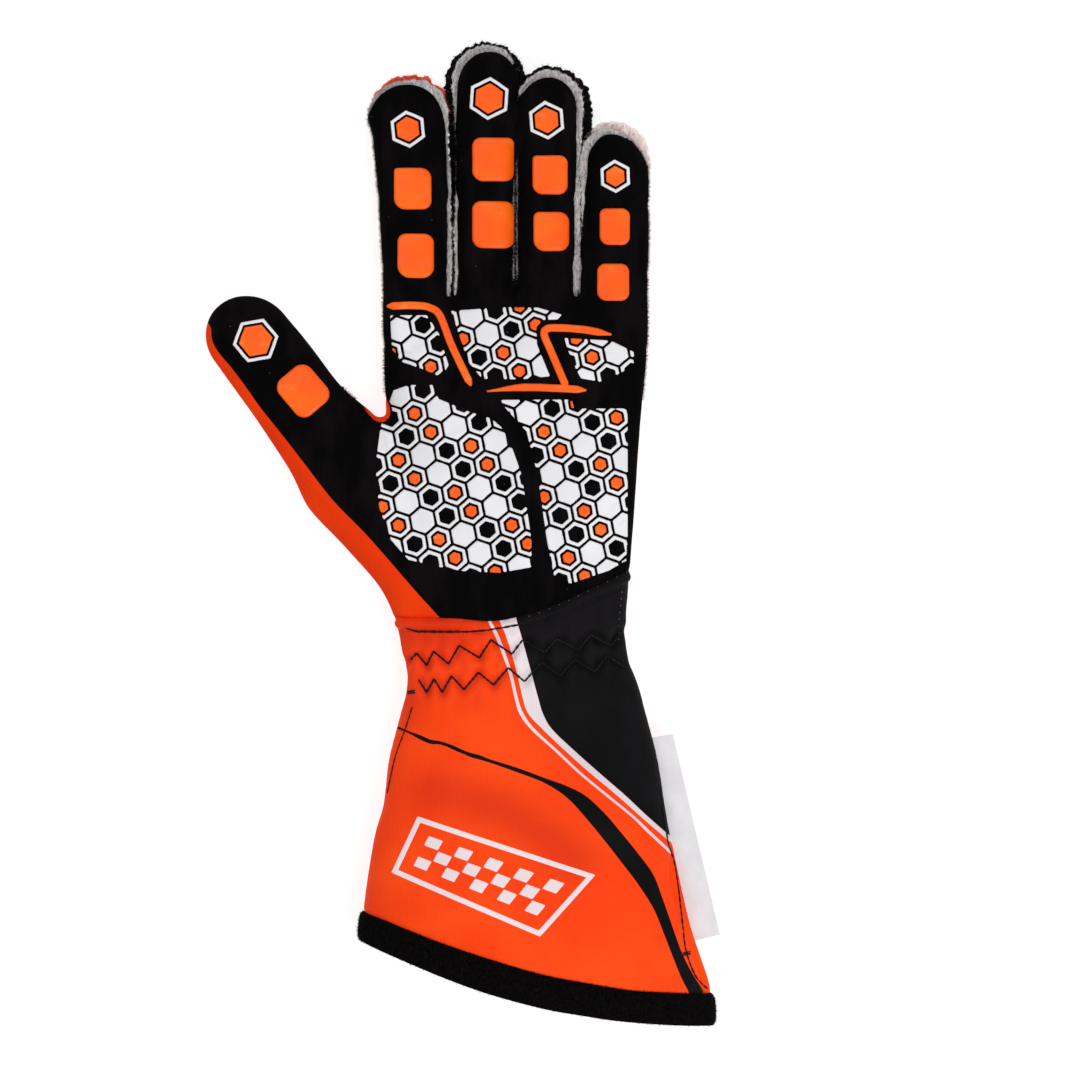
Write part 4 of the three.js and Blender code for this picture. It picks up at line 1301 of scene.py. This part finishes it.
def makeFlange(name, finger, layer, material, widths, seed):
    path = fingerOutline(finger)
    share = np.linspace(0, 1, len(path))
    table = np.array([(*row, layer["rise"])[:3] for row in widths])
    width, flare = (np.interp(share, table[:, 0], table[:, k], left=0, right=0) for k in (1, 2))
    ahead = np.gradient(path, axis=0)
    outward = np.column_stack([-ahead[:, 1], ahead[:, 0]]) / np.linalg.norm(ahead, axis=1)[:, None]
    least, reach = flanges["taper"]
    fromEnd = np.minimum(share, 1 - share) * len(path) * flanges["spacing"]
    width = width * (least + (1 - least) * smoothStep(fromEnd, 0, reach))
    rough = sum(ripple(path, length, seed + k) for k, length in enumerate(flanges["raggedLengths"]))
    width = width + layer["ragged"] * rough * smoothStep(width, 0, 1)
    level = layer["level"] + uneven(path, flanges["sway"], seed + 2)
    shown = width > flanges["leastWidth"]
    starts = np.flatnonzero(shown & ~np.append(False, shown[:-1]))
    points, faces, total = [], [], 0
    for start in starts:
        stop = start
        while stop < len(path) and shown[stop]:
            stop += 1
        if stop - start < flanges["shortestRun"]:
            continue
        run = slice(start, stop)
        rings = []
        for across, up in [(-flanges["embed"], -0.5), (-flanges["embed"], 0.5)] + flanges["profile"]:
            out = across if across < 0 else across * width[run]
            rise = flare[run] * max(across, 0) ** 2 + up * layer["thickness"]
            xy = path[run] + outward[run] * np.reshape(out, (-1, 1))
            rings.append(np.column_stack([xy, level[run] + rise]))
        ring = np.stack(rings, 1)
        lumps = uneven(ring.reshape(-1, 3), flanges["lumps"], seed + 3)
        ring[:, :, 2] += lumps.reshape(ring.shape[:2])
        count, sides = ring.shape[:2]
        a, b = tubeCorners(count - 1, sides)
        fan = np.array([(0, k, k + 1) for k in range(1, sides - 1)])
        parts = [np.column_stack([a, b, b + sides]), np.column_stack([a, b + sides, a + sides]),
                 fan[:, ::-1], fan + (count - 1) * sides]
        points.append(ring.reshape(-1, 3))
        faces.append(np.vstack(parts) + total)
        total += count * sides
    points, faces = np.vstack(points), np.vstack(faces)
    a, b, c = (points[faces[:, k]] for k in range(3))
    if np.einsum("ij,ij->i", a, np.cross(b, c)).sum() < 0:
        faces = faces[:, ::-1]
    points[:, 2] = np.maximum(points[:, 2], flanges["floorClear"])
    return finishPiece(name, points, faces, material, edgeSlots[material], sharp=75)


def makeFlanges():
    made = []
    for level in ("upper", "lower"):
        for number, (finger, (material, widths)) in enumerate(flanges[level]["fingers"].items()):
            name = level + "SeamEdge" + finger.title()
            made.append(makeFlange(name, finger, flanges[level], material, widths, 60 + 7 * number))
    return made


seamEdges = makeFlanges()
print("seam edges finished")


# Side label: a blank woven tab that hangs out of the right side

sideLabel = {
    "corners": [(68.6, -75.2), (77.4, -73.8), (94.9, -148.1), (83.9, -150.5)],
    "thickness": 0.35, "rows": 60, "columns": 14, "level": 9.6, "droop": 3.2, "droopPower": 1.6,
    "wave": (0.8, 40),
}


def makeSideLabel():
    a, b, c, d = np.array(sideLabel["corners"])
    u, v = np.meshgrid(np.linspace(0, 1, sideLabel["columns"]), np.linspace(0, 1, sideLabel["rows"]))
    u, v = u.ravel()[:, None], v.ravel()[:, None]
    xy = (1 - v) * ((1 - u) * a + u * b) + v * ((1 - u) * d + u * c)
    out = u[:, 0]
    wave = uneven(xy, sideLabel["wave"], 71) * out
    z = sideLabel["level"] - sideLabel["droop"] * out ** sideLabel["droopPower"] + wave
    points = np.column_stack([xy, z])
    rows, columns = sideLabel["rows"], sideLabel["columns"]
    r, k = np.meshgrid(np.arange(rows - 1), np.arange(columns - 1), indexing="ij")
    corner = (r * columns + k).ravel()
    triangles = np.vstack([np.column_stack([corner, corner + columns, corner + columns + 1]),
                           np.column_stack([corner, corner + columns + 1, corner + 1])])
    normals = vertexNormals(points, triangles)
    if normals[:, 2].mean() < 0:
        triangles, normals = triangles[:, ::-1], -normals
    half = normals * sideLabel["thickness"] / 2
    label = finishPiece("sideLabel", *thicken(points + half, points - half, triangles), "whiteLabel",
                        "label_white", ("side_label",))


makeSideLabel()
print("label finished")


# Geometry Nodes: stitches along a path, and fibres on a surface

def newGeometryTree(name, inputs):
    tree = bpy.data.node_groups.new(name, "GeometryNodeTree")
    tree.interface.new_socket("Geometry", in_out="INPUT", socket_type="NodeSocketGeometry")
    for label, kind in inputs.items():
        tree.interface.new_socket(label, in_out="INPUT", socket_type="NodeSocket" + kind)
    tree.interface.new_socket("Geometry", in_out="OUTPUT", socket_type="NodeSocketGeometry")
    return tree, tree.nodes.new("NodeGroupInput").outputs, tree.nodes.new("NodeGroupOutput").inputs


sizeSpread = {"stitches": (0.88, 1.08), "fibres": (0.45, 1.25)}


# Sets an instance on each point, its size varied, makes them real and gives them their material
def placeOnPoints(tree, given, result, points, instance, turn):
    least, most = sizeSpread[tree.name]
    sizes = {2: least, 3: most, "Seed": given["Seed"]}
    vary = addNode(tree, "FunctionNodeRandomValue", sizes, data_type="FLOAT")
    sockets = {"Points": points, "Instance": instance, "Rotation": turn, "Scale": vary.outputs[1]}
    shapes = addNode(tree, "GeometryNodeInstanceOnPoints", sockets).outputs[0]
    for kind in ("RealizeInstances", "SetShadeSmooth", "SetMaterial"):
        last = addNode(tree, "GeometryNode" + kind, {0: shapes})
        shapes = last.outputs[0]
    feed(tree, last.inputs["Material"], given["Material"])
    feed(tree, result["Geometry"], shapes)


def stitchTree():
    tree, given, result = newGeometryTree("stitches", {"Length": "Float", "Radius": "Float", "Seed": "Int",
                                                       "Material": "Material"})
    curve = addNode(tree, "GeometryNodeMeshToCurve", {0: given["Geometry"]}).outputs[0]
    ball = addNode(tree, "GeometryNodeMeshUVSphere", {"Segments": 8, "Rings": 6, "Radius": 1}).outputs["Mesh"]
    half = calculate(tree, "MULTIPLY", given["Length"], 0.5)
    size = addNode(tree, "CombineXYZ", {"X": given["Radius"], "Y": given["Radius"], "Z": half}).outputs[0]
    stitch = addNode(tree, "GeometryNodeTransform", {"Geometry": ball, "Scale": size}).outputs[0]
    tangent = addNode(tree, "GeometryNodeInputTangent").outputs[0]
    turn = addNode(tree, "FunctionNodeAlignRotationToVector", {"Vector": tangent}, axis="Z").outputs[0]
    placeOnPoints(tree, given, result, curve, stitch, turn)
    return tree


def fibreTree():
    tree, given, result = newGeometryTree("fibres", {"Density": "Float", "Length": "Float", "Radius": "Float",
                                                     "Tilt": "Float", "Seed": "Int", "Material": "Material"})
    density, tilt, seed = given["Density"], given["Tilt"], given["Seed"]
    scatter = addNode(tree, "GeometryNodeDistributePointsOnFaces",
                      {"Mesh": given["Geometry"], "Density": density, "Seed": seed}).outputs
    fibre = addNode(tree, "GeometryNodeMeshCone", {"Vertices": 3, "Radius Bottom": given["Radius"],
                                                   "Radius Top": 0, "Depth": given["Length"]}).outputs["Mesh"]
    minus = calculate(tree, "MULTIPLY", tilt, -1.0)
    least, most = (addNode(tree, "CombineXYZ", {"X": lean, "Y": lean}).outputs[0] for lean in (minus, tilt))
    leans = {0: least, 1: most, "Seed": seed}
    lean = addNode(tree, "FunctionNodeRandomValue", leans, data_type="FLOAT_VECTOR").outputs[0]
    euler = addNode(tree, "FunctionNodeEulerToRotation", {0: lean}).outputs[0]
    turns = {0: scatter["Rotation"], 1: euler}
    turn = addNode(tree, "FunctionNodeRotateRotation", turns, rotation_space="LOCAL").outputs[0]
    placeOnPoints(tree, given, result, scatter["Points"], fibre, turn)
    return tree


trees = {"stitches": stitchTree(), "fibres": fibreTree()}


def growPiece(name, source, tree, values):
    modifier = source.modifiers.new(tree, "NODES")
    modifier.node_group = trees[tree]
    for item in trees[tree].interface.items_tree:
        if item.in_out == "INPUT" and item.name in values:
            modifier[item.identifier] = values[item.name]
    mesh = evaluatedMesh(source)
    bpy.data.objects.remove(source)
    mesh.name = name
    obj = bpy.data.objects.new(name, mesh)
    bpy.context.scene.collection.objects.link(obj)
    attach(obj, "root")
    print(name, len(mesh.polygons), "faces")


seamStitches = {
    "lines": {  # route seen from above, stitch length, spacing, radius and thread
        "wristStitches": ([(-21.2, -33.9), (-19.4, -35.1), (-17.3, -35.7), (-4.5, -35.9), (4.2, -35.6),
                           (11.3, -34.8), (20.5, -33.2)], 4.0, 3.0, 0.42, "blackThread"),
        "wristDarkStitches": ([(20.5, -33.2), (35.7, -27.6), (62, -14.6)], 2.0, 2.8, 0.22, "blackThread"),
        "wristNeedleHoles": ([(22.5, -30.8), (35.7, -25.8), (62, -13.2)], 0.55, 4.1, 0.2, "greyThread"),
        "rightWristNeedleHoles": ([(58.6, -20), (57.6, -30), (57.3, -40)], 0.6, 2.4, 0.2, "greyThread"),
        "leftSideStitches": ([(-18.9, -63.7), (-21.4, -71.8), (-25, -81.6), (-28.1, -95.5)], 3.3, 2.7, 0.3,
                             "blackThread"),
        "rightSideStitches": ([(72.8, -94), (75.3, -112.5), (78, -121.8), (80.4, -139.2), (81.2, -147.5),
                               (82.5, -155), (86, -163.4), (90.4, -168)], 3.2, 2.7, 0.4, "blackThread"),
    },
    "zigzag": (2.5, 1.9, 0.4),  # the same three sizes
    "tacks": {"at": [(-19.3, -58.3), (82.4, -154.6)], "thread": (1.4, 0.7, 0.3),
              "corners": [(-1.4, -0.5), (1.4, -0.1), (-1.4, 0.3), (1.4, 0.8)]},
    "lift": 0.1,
}


def stitchCentres(path, spacing):
    path = np.asarray(path, float)
    along = distanceAlong(path)
    count = max(2, int(round(along[-1] / spacing)))
    return pointsAt(path, along, (np.arange(count) + 0.5) * along[-1] / count)


def makeStitches(name, paths, length, spacing, radius, thread, seed):
    runs = [stitchCentres(path, spacing) for path in paths]
    starts = np.cumsum([0] + [len(run) for run in runs])
    places, normals = topCloth.lay(np.vstack(runs))[:2]
    edges = [(i, i + 1) for start, stop in zip(starts[:-1], starts[1:]) for i in range(start, stop - 1)]
    mesh = bpy.data.meshes.new(name + "Path")
    mesh.from_pydata(((places + normals * seamStitches["lift"]) * mm).tolist(), edges, [])
    source = bpy.data.objects.new(name + "Path", mesh)
    bpy.context.scene.collection.objects.link(source)
    growPiece(name, source, "stitches", {"Length": length * mm, "Radius": radius * mm, "Seed": seed,
                                         "Material": materials[thread]})


def makeAllStitches():
    for number, (name, (route, length, spacing, radius, thread)) in enumerate(seamStitches["lines"].items()):
        makeStitches(name, [smoothCurve(route)], length, spacing, radius, thread, number)
    length, spacing, radius = seamStitches["zigzag"]
    for name, corners in zigzags.items():
        legs = list(zip(corners[:-1], corners[1:]))
        makeStitches(name + "Zigzag", legs, length, spacing, radius, "blackThread", 5)
    tacks = seamStitches["tacks"]
    for number, centre in enumerate(tacks["at"]):
        corners = np.add(tacks["corners"], centre)
        legs = list(zip(corners[:-1], corners[1:]))
        makeStitches("barTack%d" % number, legs, *tacks["thread"], "blackThread", 9)


makeAllStitches()


fuzz = {  # fibres for each square metre, and their sizes
    "upper": {"Density": 6e6, "Length": 0.9 * mm, "Radius": 0.08 * mm, "Tilt": 0.9},
    "lower": {"Density": 7e6, "Length": 1.3 * mm, "Radius": 0.09 * mm, "Tilt": 0.9},
    "binding": {"Density": 1.1e6, "Length": 0.9 * mm, "Radius": 0.08 * mm, "Tilt": 0.9},
    "rims": {"Density": 3.6e6, "Length": 1.25 * mm, "Radius": 0.085 * mm, "Tilt": 0.9},
    "quickShare": 0.3, "lowestSlant": -0.3, "bindingFoot": 3,
    "palmRim": {"top": 10.2, "highestSlant": 0.5, "foot": 50, "left": -45},
}


# The faces of a finished piece for which choose is true, as a mesh for fibres to stand on
def facesOf(obj, choose):
    points, triangles = meshArrays(obj.data)
    centres = points[triangles].mean(1)
    a, b, c = (points[triangles[:, k]] for k in range(3))
    normals = np.cross(b - a, c - a)
    normals /= np.maximum(np.linalg.norm(normals, axis=1), 1e-9)[:, None]
    return meshObject("bed", points, triangles[choose(centres, normals)])


def growFibres(source, kind, name, choose, seed, material):
    values = {**fuzz[kind], "Seed": seed, "Material": material}
    values["Density"] *= 1
    growPiece(name, facesOf(source, choose), "fibres", values)


def notUnder(centres, normals):
    return normals[:, 2] > fuzz["lowestSlant"]


def onPalmRim(centres, normals):
    x, y, z = centres.T
    rim = fuzz["palmRim"]
    onSide = notUnder(centres, normals) & (normals[:, 2] < rim["highestSlant"])
    return onSide & (z < rim["top"]) & (y > rim["foot"]) & (x > rim["left"])


def makeFuzz():
    for number, edge in enumerate(seamEdges):
        growFibres(edge, edge.name[:5], edge.name + "Fibres", notUnder, 100 + number,
                   edge.data.materials[0])
    growFibres(panels["cuff_binding"], "binding", "cuffBindingFibres",
               lambda centres, normals: centres[:, 2] > fuzz["bindingFoot"], 120, materials["plushTape"])
    growFibres(panels["palm_panel"], "rims", "palmRimFibres", onPalmRim, 130, materials["blackSuede"])


makeFuzz()

meshes = [obj.data for obj in bpy.data.objects if obj.type == "MESH"]
total = sum(len(polygon.vertices) - 2 for mesh in meshes for polygon in mesh.polygons)
print("triangles in all:", total)
